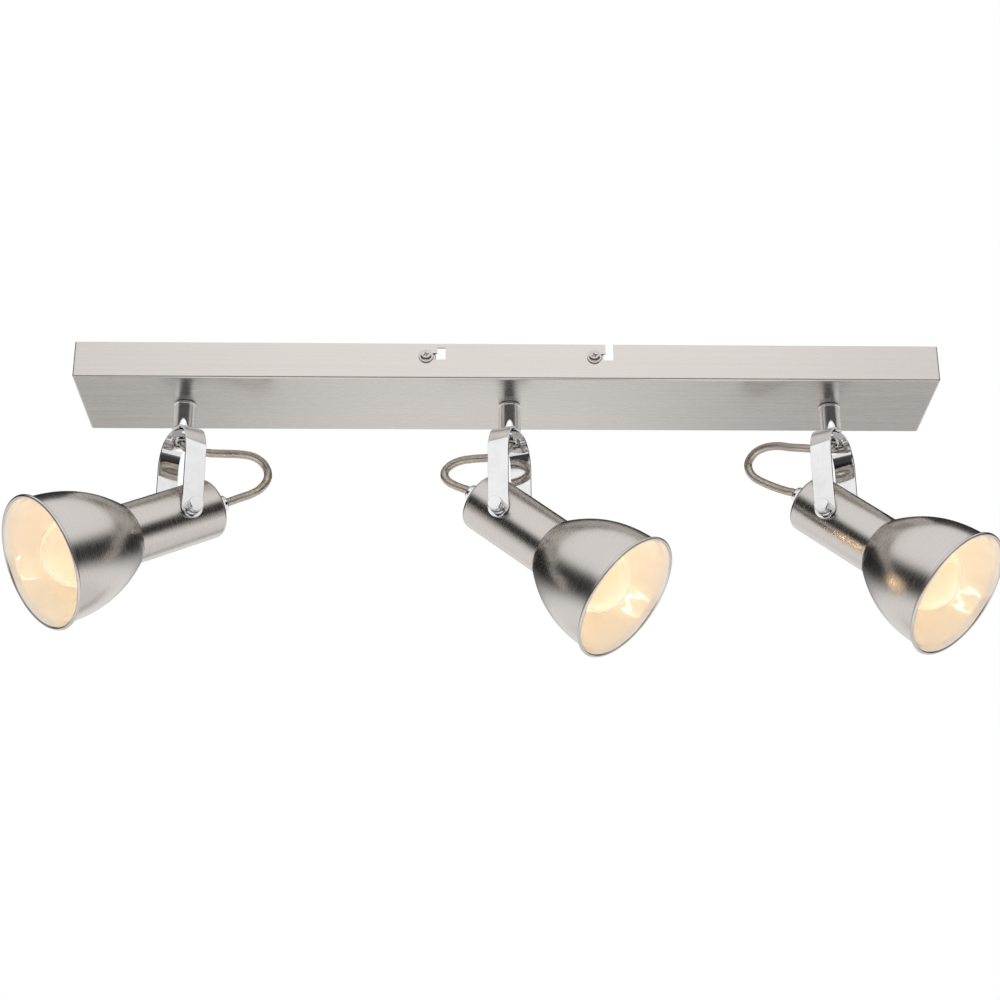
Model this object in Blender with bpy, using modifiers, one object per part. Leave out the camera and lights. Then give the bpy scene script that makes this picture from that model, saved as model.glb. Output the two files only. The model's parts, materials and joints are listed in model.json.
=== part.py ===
"""Three-spot ceiling bar: a brushed nickel canopy carrying three swivelling E14 spots on chrome yokes.

Units are metres, +Z is up. The ceiling is the plane z = 0 and everything hangs below it. +X runs along
the canopy and +Y points away from the viewer. Each spot has a pan empty, which turns about its stem's
axis, and a head empty below it, which turns about the thumb screws. In a pan empty +X is the way the
lamp points and +Y is the tilt axis; in a head empty +Z is the lamp's own axis.
"""
import math

import bmesh
import bpy
from mathutils import Matrix, Vector

GAP = 0.0003                     # play between neighbouring pieces

# Canopy and what holds it to the ceiling
CANOPY_LENGTH = 0.560
CANOPY_WIDTH = 0.076
CANOPY_HEIGHT = 0.0254
CANOPY_SHEET = 0.0010
CANOPY_EDGE = 0.0016
SIDE_SCREW_X = 0.0545
SIDE_SCREW_Z = -0.0092
SIDE_SCREW_SHANK = 0.00195
SLOT_HEIGHT = 0.0046
SLOT_REACH = 0.0126              # from the screw to the far side of the upright slot
SLOT_UPRIGHT = 0.0052
SLOT_ROOF = 0.0030               # metal left above the closed slot
BRACKET_LENGTH = 0.150
BRACKET_WIDTH = 0.026
BRACKET_SHEET = 0.0015
BRACKET_ARM = 0.012
TAB_DROP = 0.0150

# Stems and yokes
STEM_SPACING = 0.21275
STEM_RADIUS = 0.00725
STEM_LENGTH = 0.0196
SPIGOT_RADIUS = 0.0049
STEM_BORE = 0.0037
CLEAR_HOLE = 0.0053              # hole for a spigot
NUT_ACROSS_FLATS = 0.014
PIVOT_DROP = 0.0617              # from the yoke's crown to the tilt axis
YOKE_HALF_WIDTH = 0.0220
YOKE_WIDTH = 0.0140
YOKE_SHEET = 0.0015
YOKE_ARCH = 0.0200               # height of the bent part
CROWN_FLAT = 0.0060

# Lamp heads, measured along the lamp's axis from the tilt axis
CASING_RADIUS = 0.0196
CASING_WALL = 0.0009
CASING_REAR = -0.0249
SHADE_START = 0.0390
SHADE_LENGTH = 0.0590
NECK_RADIUS = 0.0202
MOUTH_RADIUS = 0.0404
BELL_POWER = 2.4
SHADE_WALL = 0.0008
LIP_RADIUS = 0.0434
LIP_BEAD = 0.0012
HOLDER_THREAD_RADIUS = 0.0140
BULB_RADIUS = 0.0225
BULB_CENTRE = 0.0750
CAP_TOP = 0.0445
CAP_RADIUS = 0.0068
CABLE_RADIUS = 0.00275
LEAD_RADIUS = 0.0018
KNOB_RADIUS = 0.0050
KNOB_LENGTH = 0.0067
KNOB_SHANK = 0.00195

CROWN_TOP = -(CANOPY_HEIGHT + GAP + STEM_LENGTH + GAP)
PIVOT_Z = CROWN_TOP - PIVOT_DROP

# Each spot: name, place along the bar, the way it points, how far it looks below level, and its cable's
# route in its pan empty: forward, sideways and up from the tilt axis.
SPOTS = (
    ("a", -STEM_SPACING, -148.0, 29.6,
     ((0, 0, 77), (0, 0, 60), (0, 0, 53.8), (-2.4, 0.5, 50.2), (-9, 1.4, 49.4), (-17.5, 2.2, 49.8),
      (-27, 3, 51.4), (-38, 4, 53.4), (-47.5, 5, 53.8), (-55, 5.5, 50.8), (-59.4, 5, 44.8),
      (-59, 4, 38.6), (-54.5, 3, 32), (-48.5, 1.6, 27.6), (-42, 0.6, 24), (-36.5, 0, 20.8))),
    ("b", 0.0, -21.8, 40.6,
     ((0, 0, 77), (0, 0, 60), (0, 0, 53.6), (-1.8, -0.2, 49.4), (-7, -0.6, 46.6), (-14, -1, 45.6),
      (-24, -1.4, 46.4), (-33.5, -1.8, 46.4), (-40.7, -1.8, 44.4), (-44.9, -1.4, 41), (-45.4, -1, 37),
      (-42.6, -0.6, 33), (-38, -0.2, 29.8), (-33, 0, 27))),
    ("c", STEM_SPACING, -31.6, 42.0,
     ((0, 0, 77), (0, 0, 60), (0, 0, 53.4), (-2, -1.5, 50.4), (-8.6, -5.4, 50.6), (-16, -8.5, 51.8),
      (-25, -10, 54), (-34, -10.6, 57), (-43, -10.6, 58), (-51, -10, 56.2), (-56.4, -8.5, 51.4),
      (-57, -7, 46), (-54, -5.4, 40.6), (-48, -3.6, 36), (-41, -1.6, 31.8), (-33, -0.2, 27.6))),
)

# Routes of the inner leads, in millimetres from the canopy's middle: each leaves a stem and ends at
# the terminal block.
BLOCK_CENTRE = Vector((0.105, 0.0180, -0.0180))
BLOCK_SIZE = Vector((0.034, 0.016, 0.0120))
POLE_PITCH = 0.011
LEAD_ROUTES = (
    ("a", ((-212.75, 0, -29.6), (-212.75, 0, -15.6), (-211, -1, -10.5), (-204, -5, -9.5),
           (-192, -10, -14), (-170, -15, -20), (-110, -17, -21.6), (-30, -16, -21.6),
           (40, -15, -21.6), (76, -13, -21.4), (98, -8, -20), (104.6, 0, -18.4), (105, 9.7, -18))),
    ("b", ((0, 0, -29.6), (0, 0, -15.6), (1.6, 0.8, -10.5), (8, 3.5, -9), (18, 7, -12),
           (34, 10, -19), (60, 8, -21.4), (80, 2.6, -20.6), (90.6, 1.4, -18.6), (94, 5, -18),
           (94, 9.7, -18))),
    ("c", ((212.75, 0, -29.6), (212.75, 0, -15.6), (211, -0.8, -10.5), (204, -3.5, -9.5),
           (192, -7, -14), (168, -9, -20), (140, -7, -21.2), (122, -3, -19.4), (116.4, 3, -18),
           (116, 9.7, -18))),
)

FINISHES = {
    "nickel": ((0.56, 0.53, 0.50), 0.34, 1.0),
    "nickel_canopy": ((0.58, 0.55, 0.52), 0.36, 1.0),
    "chrome": ((0.80, 0.80, 0.81), 0.07, 1.0),
    "zinc": ((0.62, 0.62, 0.60), 0.35, 1.0),
    "white_plastic": ((0.85, 0.84, 0.80), 0.45, 0.0),
    "porcelain": ((0.86, 0.85, 0.82), 0.25, 0.0),
    "glass": ((0.95, 0.90, 0.80), 0.05, 0.0),
    "braid": ((0.46, 0.40, 0.34), 0.5, 0.6),
    "brass": ((0.72, 0.56, 0.28), 0.3, 1.0),
    "lead_sleeve": ((0.80, 0.79, 0.76), 0.6, 0.0),
}


def clear_scene():
    """Remove whatever the scene holds."""
    for thing in list(bpy.data.objects):
        bpy.data.objects.remove(thing, do_unlink=True)


def new_collection(name):
    """Add a collection to the scene."""
    collection = bpy.data.collections.new(name)
    bpy.context.scene.collection.children.link(collection)
    return collection


def make_finish(name):
    """Make the Principled material of one finish."""
    colour, roughness, metallic = FINISHES[name]
    material = bpy.data.materials.new(name)
    material.use_nodes = True
    shader = material.node_tree.nodes["Principled BSDF"]
    shader.inputs["Base Color"].default_value = (*colour, 1.0)
    shader.inputs["Roughness"].default_value = roughness
    shader.inputs["Metallic"].default_value = metallic
    return material


def add_object(name, mesh, finish=None):
    """Put a mesh or curve in the scene: a part where it has a finish, else a cutter."""
    thing = bpy.data.objects.new(name, mesh)
    if finish is None:
        CUTTERS.objects.link(thing)
        thing.hide_render = True
        thing.display_type = "WIRE"
    else:
        PARTS.objects.link(thing)
        mesh.materials.clear()
        mesh.materials.append(MATERIALS[finish])
    return thing


def add_empty(name, location, rotation, parent=None):
    """Add an empty on a joint's axis."""
    empty = bpy.data.objects.new(name, None)
    PARTS.objects.link(empty)
    empty.empty_display_size = 0.01
    empty.parent = parent
    empty.location = location
    empty.rotation_euler = rotation
    return empty


def shade_round(mesh, angle=35.0):
    """Smooth the round faces and keep the hard edges sharp."""
    mesh.shade_smooth()
    mesh.set_sharp_from_angle(angle=math.radians(angle))


def arc(centre, radius, start, end, count):
    """Points of an arc in a plane, angles in degrees."""
    points = []
    for step in range(count + 1):
        angle = math.radians(start + (end - start) * step / count)
        points.append((centre[0] + radius * math.cos(angle), centre[1] + radius * math.sin(angle)))
    return points


def turned_mesh(name, profile, steps, closed=True):
    """Turn a profile of (radius, height) points about +Z with a Screw modifier and keep the mesh."""
    mesh = bpy.data.meshes.new(name)
    edges = [(i, i + 1) for i in range(len(profile) - 1)]
    if closed:
        edges.append((len(profile) - 1, 0))
    mesh.from_pydata([(radius, 0.0, height) for radius, height in profile], edges, [])
    guide = bpy.data.objects.new(name + "_turning", mesh)
    bpy.context.scene.collection.objects.link(guide)
    screw = guide.modifiers.new("Screw", "SCREW")
    screw.steps = steps
    screw.render_steps = steps
    screw.use_merge_vertices = True
    screw.merge_threshold = 0.00002
    return baked(guide, name)


def baked(guide, name):
    """The mesh that an object's modifiers give; the object itself goes."""
    bpy.context.view_layer.update()
    graph = bpy.context.evaluated_depsgraph_get()
    mesh = bpy.data.meshes.new_from_object(guide.evaluated_get(graph), depsgraph=graph)
    blank = guide.data
    bpy.data.objects.remove(guide, do_unlink=True)
    bpy.data.batch_remove([blank])
    mesh.name = name
    shell = bmesh.new()
    shell.from_mesh(mesh)
    bmesh.ops.remove_doubles(shell, verts=shell.verts, dist=0.000005)
    shell.to_mesh(mesh)
    shell.free()
    shade_round(mesh)
    return mesh


def prism_mesh(name, outline, thickness):
    """A flat outline in XY, made solid by half its thickness each way along Z."""
    curve = bpy.data.curves.new(name, "CURVE")
    curve.dimensions = "2D"
    curve.fill_mode = "BOTH"
    curve.extrude = thickness / 2
    spline = curve.splines.new("POLY")
    spline.points.add(len(outline) - 1)
    for point, place in zip(spline.points, outline):
        point.co = (place[0], place[1], 0.0, 1.0)
    spline.use_cyclic_u = True
    guide = bpy.data.objects.new(name + "_outline", curve)
    bpy.context.scene.collection.objects.link(guide)
    return baked(guide, name)


def box_mesh(name, size, centre=(0.0, 0.0, 0.0)):
    """A box from the cube primitive, its size and place already in the mesh."""
    shell = bmesh.new()
    bmesh.ops.create_cube(shell, size=1.0)
    place = Matrix.Translation(centre) @ Matrix.Diagonal((*size, 1.0))
    bmesh.ops.transform(shell, matrix=place, verts=shell.verts)
    mesh = bpy.data.meshes.new(name)
    shell.to_mesh(mesh)
    shell.free()
    return mesh


def rod_mesh(name, radius, length, segments=16, axis="Z", centre=(0.0, 0.0, 0.0)):
    """A round or many-sided bar from the cone primitive."""
    turns = {"X": Matrix.Rotation(math.pi / 2, 4, "Y"), "Y": Matrix.Rotation(math.pi / 2, 4, "X"),
             "Z": Matrix.Identity(4)}
    shell = bmesh.new()
    bmesh.ops.create_cone(shell, cap_ends=True, segments=segments, radius1=radius, radius2=radius,
                          depth=length)
    bmesh.ops.transform(shell, matrix=Matrix.Translation(centre) @ turns[axis], verts=shell.verts)
    mesh = bpy.data.meshes.new(name)
    shell.to_mesh(mesh)
    shell.free()
    return mesh


def combined(name, meshes):
    """Several separate closed meshes in one, for use as one cutter."""
    shell = bmesh.new()
    for mesh in meshes:
        shell.from_mesh(mesh)
    mesh = bpy.data.meshes.new(name)
    shell.to_mesh(mesh)
    shell.free()
    return mesh


def boolean(thing, operation, cutter):
    """Join, cut or intersect an object with a cutter."""
    modifier = thing.modifiers.new(operation.title(), "BOOLEAN")
    modifier.operation = operation
    modifier.object = cutter
    modifier.solver = "EXACT"
    return modifier


def shaped_mesh(name, base, steps):
    """A base mesh after a list of (operation, cutter mesh) Booleans, all about the same origin."""
    guide = bpy.data.objects.new(name + "_blank", base)
    bpy.context.scene.collection.objects.link(guide)
    for number, (operation, mesh) in enumerate(steps):
        boolean(guide, operation, add_object(f"{name}_cut_{number}", mesh))
    return baked(guide, name)


def smooth_route(route, spacing, scale=0.001):
    """Points along a smooth curve through a route's points, about a spacing apart."""
    knots = [Vector(point) * scale for point in route]
    knots = [2 * knots[0] - knots[1]] + knots + [2 * knots[-1] - knots[-2]]
    points = []
    for before, start, end, after in zip(knots, knots[1:], knots[2:], knots[3:]):
        count = max(1, round((end - start).length / spacing))
        for step in range(count):
            t = step / count
            points.append(0.5 * (2 * start + (end - before) * t
                                 + (2 * before - 5 * start + 4 * end - after) * t ** 2
                                 + (3 * start - before - 3 * end + after) * t ** 3))
    points.append(knots[-2])
    return points


def tube(name, points, radius, finish):
    """A round cable or lead: a POLY curve with filled caps."""
    curve = bpy.data.curves.new(name, "CURVE")
    curve.dimensions = "3D"
    curve.bevel_depth = radius
    curve.bevel_resolution = 2
    curve.use_fill_caps = True
    spline = curve.splines.new("POLY")
    spline.points.add(len(points) - 1)
    for point, place in zip(spline.points, points):
        point.co = (*place, 1.0)
    return add_object(name, curve, finish)


def slot_outline(is_open):
    """A bayonet slot in XZ about the screw: a level run to the right, then an upright one."""
    half = SLOT_HEIGHT / 2
    top = -SIDE_SCREW_Z + 0.002 if is_open else -SIDE_SCREW_Z - SLOT_ROOF
    outline = arc((0.0, 0.0), half, 90, 270, 8)
    outline += [(SLOT_REACH, -half), (SLOT_REACH, top)]
    outline += [(SLOT_REACH - SLOT_UPRIGHT, top), (SLOT_REACH - SLOT_UPRIGHT, half)]
    return outline


def make_canopy():
    """The folded sheet cover, open at the ceiling, with bayonet slots and stem holes."""
    shell = bmesh.new()
    bmesh.ops.create_cube(shell, size=1.0)
    size = Matrix.Diagonal((CANOPY_LENGTH, CANOPY_WIDTH, CANOPY_HEIGHT, 1.0))
    place = Matrix.Translation((0.0, 0.0, -CANOPY_HEIGHT / 2)) @ size
    bmesh.ops.transform(shell, matrix=place, verts=shell.verts)
    lids = [face for face in shell.faces if face.normal.z > 0.9]
    bmesh.ops.delete(shell, geom=lids, context="FACES_ONLY")
    mesh = bpy.data.meshes.new("canopy_shell")
    shell.to_mesh(mesh)
    shell.free()
    canopy = add_object("canopy_shell", mesh, "nickel_canopy")
    edges = canopy.modifiers.new("Bends", "BEVEL")
    edges.width = CANOPY_EDGE
    edges.segments = 2
    sheet = canopy.modifiers.new("Sheet", "SOLIDIFY")
    sheet.thickness = CANOPY_SHEET
    sheet.offset = -1.0
    sheet.use_even_offset = True
    upright = Matrix.Rotation(math.pi / 2, 4, "X")
    for side in (-1, 1):
        for hand in (-1, 1):
            slot = prism_mesh("slot", slot_outline(hand > 0), 0.008)
            slot.transform(Matrix.Translation((hand * SIDE_SCREW_X, side * CANOPY_WIDTH / 2,
                                               SIDE_SCREW_Z)) @ upright)
            boolean(canopy, "DIFFERENCE", add_object(f"slot_{side}_{hand}", slot))
    for key, x, *_ in SPOTS:
        hole = rod_mesh("stem_hole", CLEAR_HOLE, 0.01, 16, "Z", (x, 0.0, -CANOPY_HEIGHT))
        boolean(canopy, "DIFFERENCE", add_object(f"stem_hole_{key}", hole))


def make_bracket():
    """The steel plate that is screwed to the ceiling, with arms and bent tabs for the side screws."""
    half_length = BRACKET_LENGTH / 2
    half_width = BRACKET_WIDTH / 2
    tab_y = CANOPY_WIDTH / 2 - CANOPY_SHEET - GAP - BRACKET_SHEET / 2
    base = box_mesh("plate", (BRACKET_LENGTH, BRACKET_WIDTH, BRACKET_SHEET),
                    (0.0, 0.0, -BRACKET_SHEET / 2))
    steps = []
    for hand in (-1, 1):
        arm = box_mesh("arm", (BRACKET_ARM, 2 * tab_y + BRACKET_SHEET, BRACKET_SHEET),
                       (hand * SIDE_SCREW_X, 0.0, -BRACKET_SHEET / 2))
        steps.append(("UNION", arm))
        for side in (-1, 1):
            tab = box_mesh("tab", (BRACKET_ARM, BRACKET_SHEET, TAB_DROP),
                           (hand * SIDE_SCREW_X, side * tab_y, -TAB_DROP / 2))
            steps.append(("UNION", tab))
        steps.append(("DIFFERENCE", rod_mesh("bore", SIDE_SCREW_SHANK + GAP, 2 * CANOPY_WIDTH, 12, "Y",
                                             (hand * SIDE_SCREW_X, 0.0, SIDE_SCREW_Z))))
        slot = prism_mesh("ceiling_slot", arc((0.006, 0.0), 0.0024, -90, 90, 6)
                          + arc((-0.006, 0.0), 0.0024, 90, 270, 6), 0.01)
        slot.transform(Matrix.Translation((hand * half_length * 0.42, 0.0, 0.0)))
        steps.append(("DIFFERENCE", slot))
        notch = box_mesh("notch", (0.008, half_width, 0.01),
                         (hand * half_length, 0.0, 0.0))
        steps.append(("DIFFERENCE", notch))
    add_object("mounting_bracket", shaped_mesh("mounting_bracket", base, steps), "zinc")


def side_screw_mesh():
    """A flanged cross-head screw along +Z, its flange resting on z = 0."""
    profile = [(radius, 0.0022 - 77.0 * radius ** 2) for radius in (0.0, 0.0013, 0.0026, 0.0036)]
    profile += [(0.0036, 0.0008), (0.00475, 0.0007), (0.00475, 0.0), (SIDE_SCREW_SHANK, 0.0),
                (SIDE_SCREW_SHANK, -0.0075), (0.0, -0.0085)]
    base = turned_mesh("screw_blank", profile, 16, closed=False)
    slots = [box_mesh("recess", size, (0.0, 0.0, 0.0022))
             for size in ((0.0036, 0.0008, 0.0024), (0.0008, 0.0036, 0.0024))]
    return shaped_mesh("side_screw", base, [("DIFFERENCE", slot) for slot in slots])


def make_side_screws():
    """The four screws through the canopy's slots into the bracket's tabs."""
    mesh = side_screw_mesh()
    for side, letter in ((-1, "f"), (1, "b")):
        for hand, other in ((-1, "l"), (1, "r")):
            screw = add_object(f"side_screw_{letter}{other}", mesh, "nickel")
            screw.location = (hand * SIDE_SCREW_X, side * (CANOPY_WIDTH / 2 + GAP), SIDE_SCREW_Z)
            screw.rotation_euler = (-side * math.pi / 2, 0.0, 0.0)


def stem_profile():
    """Outer side from the upper spigot down to the lower one, then the bore; z = 0 is its shoulder."""
    chamfer = 0.0006
    upper = 0.0091
    lower = 0.0087
    return [(SPIGOT_RADIUS, upper), (SPIGOT_RADIUS, 0.0), (STEM_RADIUS - chamfer, 0.0),
            (STEM_RADIUS, -chamfer), (STEM_RADIUS, -STEM_LENGTH + chamfer),
            (STEM_RADIUS - chamfer, -STEM_LENGTH), (SPIGOT_RADIUS, -STEM_LENGTH),
            (SPIGOT_RADIUS, -STEM_LENGTH - lower), (STEM_BORE, -STEM_LENGTH - lower),
            (STEM_BORE, upper)]


def nut_mesh(name, thickness):
    """A hexagon nut on +Z from z = 0 down, its flats towards the yoke's legs."""
    corner = NUT_ACROSS_FLATS / 2 / math.cos(math.pi / 6)
    base = rod_mesh(name, corner, thickness, 6, "Z", (0.0, 0.0, -thickness / 2))
    hole = rod_mesh("nut_hole", SPIGOT_RADIUS + GAP, 3 * thickness, 16, "Z")
    return shaped_mesh(name, base, [("DIFFERENCE", hole)])


def make_stems():
    """Each stem with its washer and nut inside the canopy and its nut under the yoke's crown."""
    stem = turned_mesh("stem", stem_profile(), 16)
    washer = turned_mesh("washer", [(0.009, 0.0012), (0.009, 0.0), (CLEAR_HOLE, 0.0),
                                    (CLEAR_HOLE, 0.0012)], 16)
    inner_nut = nut_mesh("inner_nut", 0.0040)
    yoke_nut = nut_mesh("yoke_nut", 0.0050)
    floor = -CANOPY_HEIGHT + CANOPY_SHEET
    for key, x, pan, *_ in SPOTS:
        add_object(f"stem_{key}", stem, "chrome").location = (x, 0.0, -CANOPY_HEIGHT - GAP)
        add_object(f"stem_washer_{key}", washer, "zinc").location = (x, 0.0, floor + GAP)
        add_object(f"stem_nut_{key}", inner_nut, "zinc").location = (x, 0.0, floor + 2 * GAP + 0.0052)
        nut = add_object(f"yoke_nut_{key}", yoke_nut, "chrome")
        nut.location = (x, 0.0, CROWN_TOP - YOKE_SHEET - 0.0004)
        nut.rotation_euler = (0.0, 0.0, math.radians(pan))


def make_terminal_block():
    """The three-pole terminal block on the canopy's floor, with wire holes and grooves between poles."""
    base = box_mesh("block", BLOCK_SIZE, BLOCK_CENTRE)
    steps = []
    for pole in (-1, 0, 1):
        x = BLOCK_CENTRE.x + pole * POLE_PITCH
        steps.append(("DIFFERENCE", rod_mesh("wire_hole", 0.0017, 0.03, 8, "Y",
                                             (x, BLOCK_CENTRE.y, BLOCK_CENTRE.z))))
    for gap in (-0.5, 0.5):
        groove = (BLOCK_CENTRE.x + gap * POLE_PITCH, BLOCK_CENTRE.y, BLOCK_CENTRE.z + 0.0050)
        steps.append(("DIFFERENCE", box_mesh("groove", (0.0014, 0.03, 0.0060), groove)))
    add_object("terminal_block", shaped_mesh("terminal_block", base, steps), "white_plastic")


def make_earth_screw():
    """The earth screw with its cup washer on the canopy's floor."""
    profile = [(0.0, 0.0050), (0.0030, 0.0044), (0.0036, 0.0034), (0.0036, 0.0022), (0.0048, 0.0018),
               (0.0048, 0.0), (0.0, 0.0)]
    screw = add_object("earth_screw", turned_mesh("earth_screw", profile, 16, closed=False), "brass")
    screw.location = (-0.100, 0.018, -CANOPY_HEIGHT + CANOPY_SHEET + GAP)


def yoke_mesh():
    """The strap bent to an arch, its leg ends rounded, with the pivot and crown holes."""
    def arch(half_width, top, rise):
        spring = PIVOT_DROP - YOKE_ARCH
        side = half_width - CROWN_FLAT
        points = [(half_width, -YOKE_WIDTH)]
        for step in range(7):
            angle = math.pi / 2 * step / 6
            points.append((CROWN_FLAT + side * math.cos(angle), spring + rise * math.sin(angle)))
        return points + [(-y, z) for y, z in reversed(points)]
    outer = arch(YOKE_HALF_WIDTH, PIVOT_DROP, YOKE_ARCH)
    inner = arch(YOKE_HALF_WIDTH - YOKE_SHEET, PIVOT_DROP - YOKE_SHEET, YOKE_ARCH - YOKE_SHEET)
    across = Matrix(((0, 0, 1, 0), (1, 0, 0, 0), (0, 1, 0, 0), (0, 0, 0, 1)))
    strap = prism_mesh("strap", outer + inner[::-1], YOKE_WIDTH)
    strap.transform(across)
    stadium = arc((0.0, 0.0), YOKE_WIDTH / 2, 180, 360, 10)
    half = YOKE_WIDTH / 2
    corners = [(half + 0.002, 0.003), (half + 0.002, 0.08), (-half - 0.002, 0.08),
               (-half - 0.002, 0.003)]
    ends = prism_mesh("leg_ends", stadium + corners, 0.06)
    ends.transform(Matrix.Rotation(math.pi / 2, 4, "X"))
    pivot = rod_mesh("pivot_hole", KNOB_SHANK + GAP, 0.06, 12, "Y")
    crown = rod_mesh("crown_hole", CLEAR_HOLE, 0.01, 16, "Z", (0.0, 0.0, PIVOT_DROP))
    return shaped_mesh("yoke", strap, [("INTERSECT", ends), ("DIFFERENCE", pivot),
                                       ("DIFFERENCE", crown)])


def casing_mesh():
    """The lamp's tube with its closed rear end, gland hole and tapped collars for the thumb screws."""
    corner = 0.0025
    inner = CASING_RADIUS - CASING_WALL
    front = SHADE_START - GAP
    profile = [(CASING_RADIUS, front)]
    profile += arc((CASING_RADIUS - corner, CASING_REAR + corner), corner, 0, -90, 2)
    profile += [(CLEAR_HOLE, CASING_REAR), (CLEAR_HOLE, CASING_REAR + CASING_WALL)]
    profile += arc((CASING_RADIUS - corner, CASING_REAR + corner), corner - CASING_WALL, -90, 0, 2)
    profile.append((inner, front))
    collars = [("UNION", rod_mesh("collar", 0.0036, 0.0042, 12, "Y", (0.0, side * 0.0170, 0.0)))
               for side in (-1, 1)]
    bore = ("DIFFERENCE", rod_mesh("collar_bore", KNOB_SHANK + GAP, 0.06, 12, "Y"))
    return shaped_mesh("casing", turned_mesh("casing_tube", profile, 24), collars + [bore])


def bell_outline(count):
    """The bell's outer side as (radius, height) points from its neck to its mouth."""
    points = []
    for step in range(count + 1):
        t = (step / count) ** 1.3
        radius = NECK_RADIUS + (MOUTH_RADIUS - NECK_RADIUS) * (1 - (1 - t) ** BELL_POWER)
        points.append((radius, SHADE_START + SHADE_LENGTH * t))
    return points


def offset_inwards(points, distance):
    """A line of points moved sideways by a distance, to the left of its run."""
    moved = []
    for i, (x, y) in enumerate(points):
        before = Vector(points[max(i - 1, 0)])
        after = Vector(points[min(i + 1, len(points) - 1)])
        run = (after - before).normalized()
        moved.append((x - run.y * distance, y + run.x * distance))
    return moved


def shade_mesh():
    """The bell with its flat base, which the ring clamps, and its rolled rim."""
    hole = HOLDER_THREAD_RADIUS + 0.0007
    outer = bell_outline(7)
    inner = offset_inwards(outer, SHADE_WALL)
    inner[0] = (NECK_RADIUS - 0.0012, SHADE_START + SHADE_WALL)
    bead_centre = (LIP_RADIUS - LIP_BEAD, SHADE_START + SHADE_LENGTH + 0.0023)
    bead = arc(bead_centre, LIP_BEAD, -60, 150, 4)
    ring = [(hole, SHADE_START + SHADE_WALL), (hole, SHADE_START)] + outer + bead + inner[::-1]
    return turned_mesh("shade", ring[::-1], 26)


def lampholder_mesh():
    """The E14 holder: body, shoulder, threaded front and a blind bore for the bulb's cap."""
    bore = CAP_RADIUS + 0.0007
    profile = [(0.0, 0.0188), (bore, 0.0188), (bore, 0.0440), (HOLDER_THREAD_RADIUS, 0.0440),
               (HOLDER_THREAD_RADIUS, 0.0386), (0.0172, 0.0386), (0.0172, 0.0362), (0.0130, 0.0340),
               (0.0130, 0.0030), (0.0110, 0.0010), (0.0, 0.0010)]
    return turned_mesh("lampholder", profile, 16, closed=False)


def bulb_cap_mesh():
    """The E14 screw cap with its insulator and centre contact."""
    profile = [(0.0, CAP_TOP), (CAP_RADIUS, CAP_TOP), (CAP_RADIUS, 0.0252), (0.0058, 0.0236),
               (0.0032, 0.0216), (0.0026, 0.0204), (0.0012, 0.0196), (0.0, 0.0196)]
    return turned_mesh("bulb_cap", profile, 16, closed=False)


def bulb_glass_mesh():
    """The golf-ball glass, open where it meets the cap."""
    neck = CAP_RADIUS + 0.0002
    foot = CAP_TOP + GAP
    wall = 0.0007
    angle = math.degrees(math.asin((neck + 0.0035) / BULB_RADIUS))
    outer = arc((0.0, BULB_CENTRE), BULB_RADIUS, 90, -90 + angle, 6) + [(neck, foot)]
    inner = arc((0.0, BULB_CENTRE), BULB_RADIUS - wall, 90, -90 + angle, 6) + [(neck - wall, foot)]
    return turned_mesh("bulb_glass", outer + inner[::-1], 20, closed=False)


def bulb_mount_mesh():
    """The glass mount inside the bulb that carries the filament."""
    foot = CAP_TOP + GAP
    profile = [(0.0, 0.0760), (0.0012, 0.0752), (0.0010, 0.0660), (0.0022, 0.0640), (0.0020, 0.0520),
               (0.0048, foot + 0.0015), (0.0048, foot), (0.0, foot)]
    return turned_mesh("bulb_mount", profile, 12, closed=False)


def gland_mesh():
    """The cable nut on the casing's rear end: a hexagon with a round flange and a threaded tail."""
    back = CASING_REAR
    corner = 0.0066
    body = rod_mesh("gland_body", corner, 0.0114, 6, "Z", (0.0, 0.0, back - GAP - 0.0063))
    tail_profile = [(SPIGOT_RADIUS, back + 0.0052), (SPIGOT_RADIUS, back - GAP),
                    (corner + 0.0002, back - GAP), (corner + 0.0002, back - GAP - 0.0011),
                    (0.0, back - GAP - 0.0011), (0.0, back + 0.0052)]
    tail = turned_mesh("gland_tail", tail_profile, 16)
    bore = rod_mesh("gland_bore", CABLE_RADIUS + GAP, 0.04, 12, "Z", (0.0, 0.0, back))
    return shaped_mesh("gland", body, [("UNION", tail), ("DIFFERENCE", bore)])


def thumb_screw_mesh():
    """A knurled-head pivot screw along +Z: its head lies beyond the yoke's leg."""
    near = YOKE_HALF_WIDTH + GAP
    far = near + KNOB_LENGTH
    profile = [(0.0, far), (KNOB_RADIUS - 0.0005, far), (KNOB_RADIUS, far - 0.0005),
               (KNOB_RADIUS, near + 0.0004), (KNOB_RADIUS - 0.0004, near), (KNOB_SHANK, near),
               (KNOB_SHANK, 0.0150), (0.0, 0.0150)]
    return turned_mesh("thumb_screw", profile, 16, closed=False)


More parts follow.
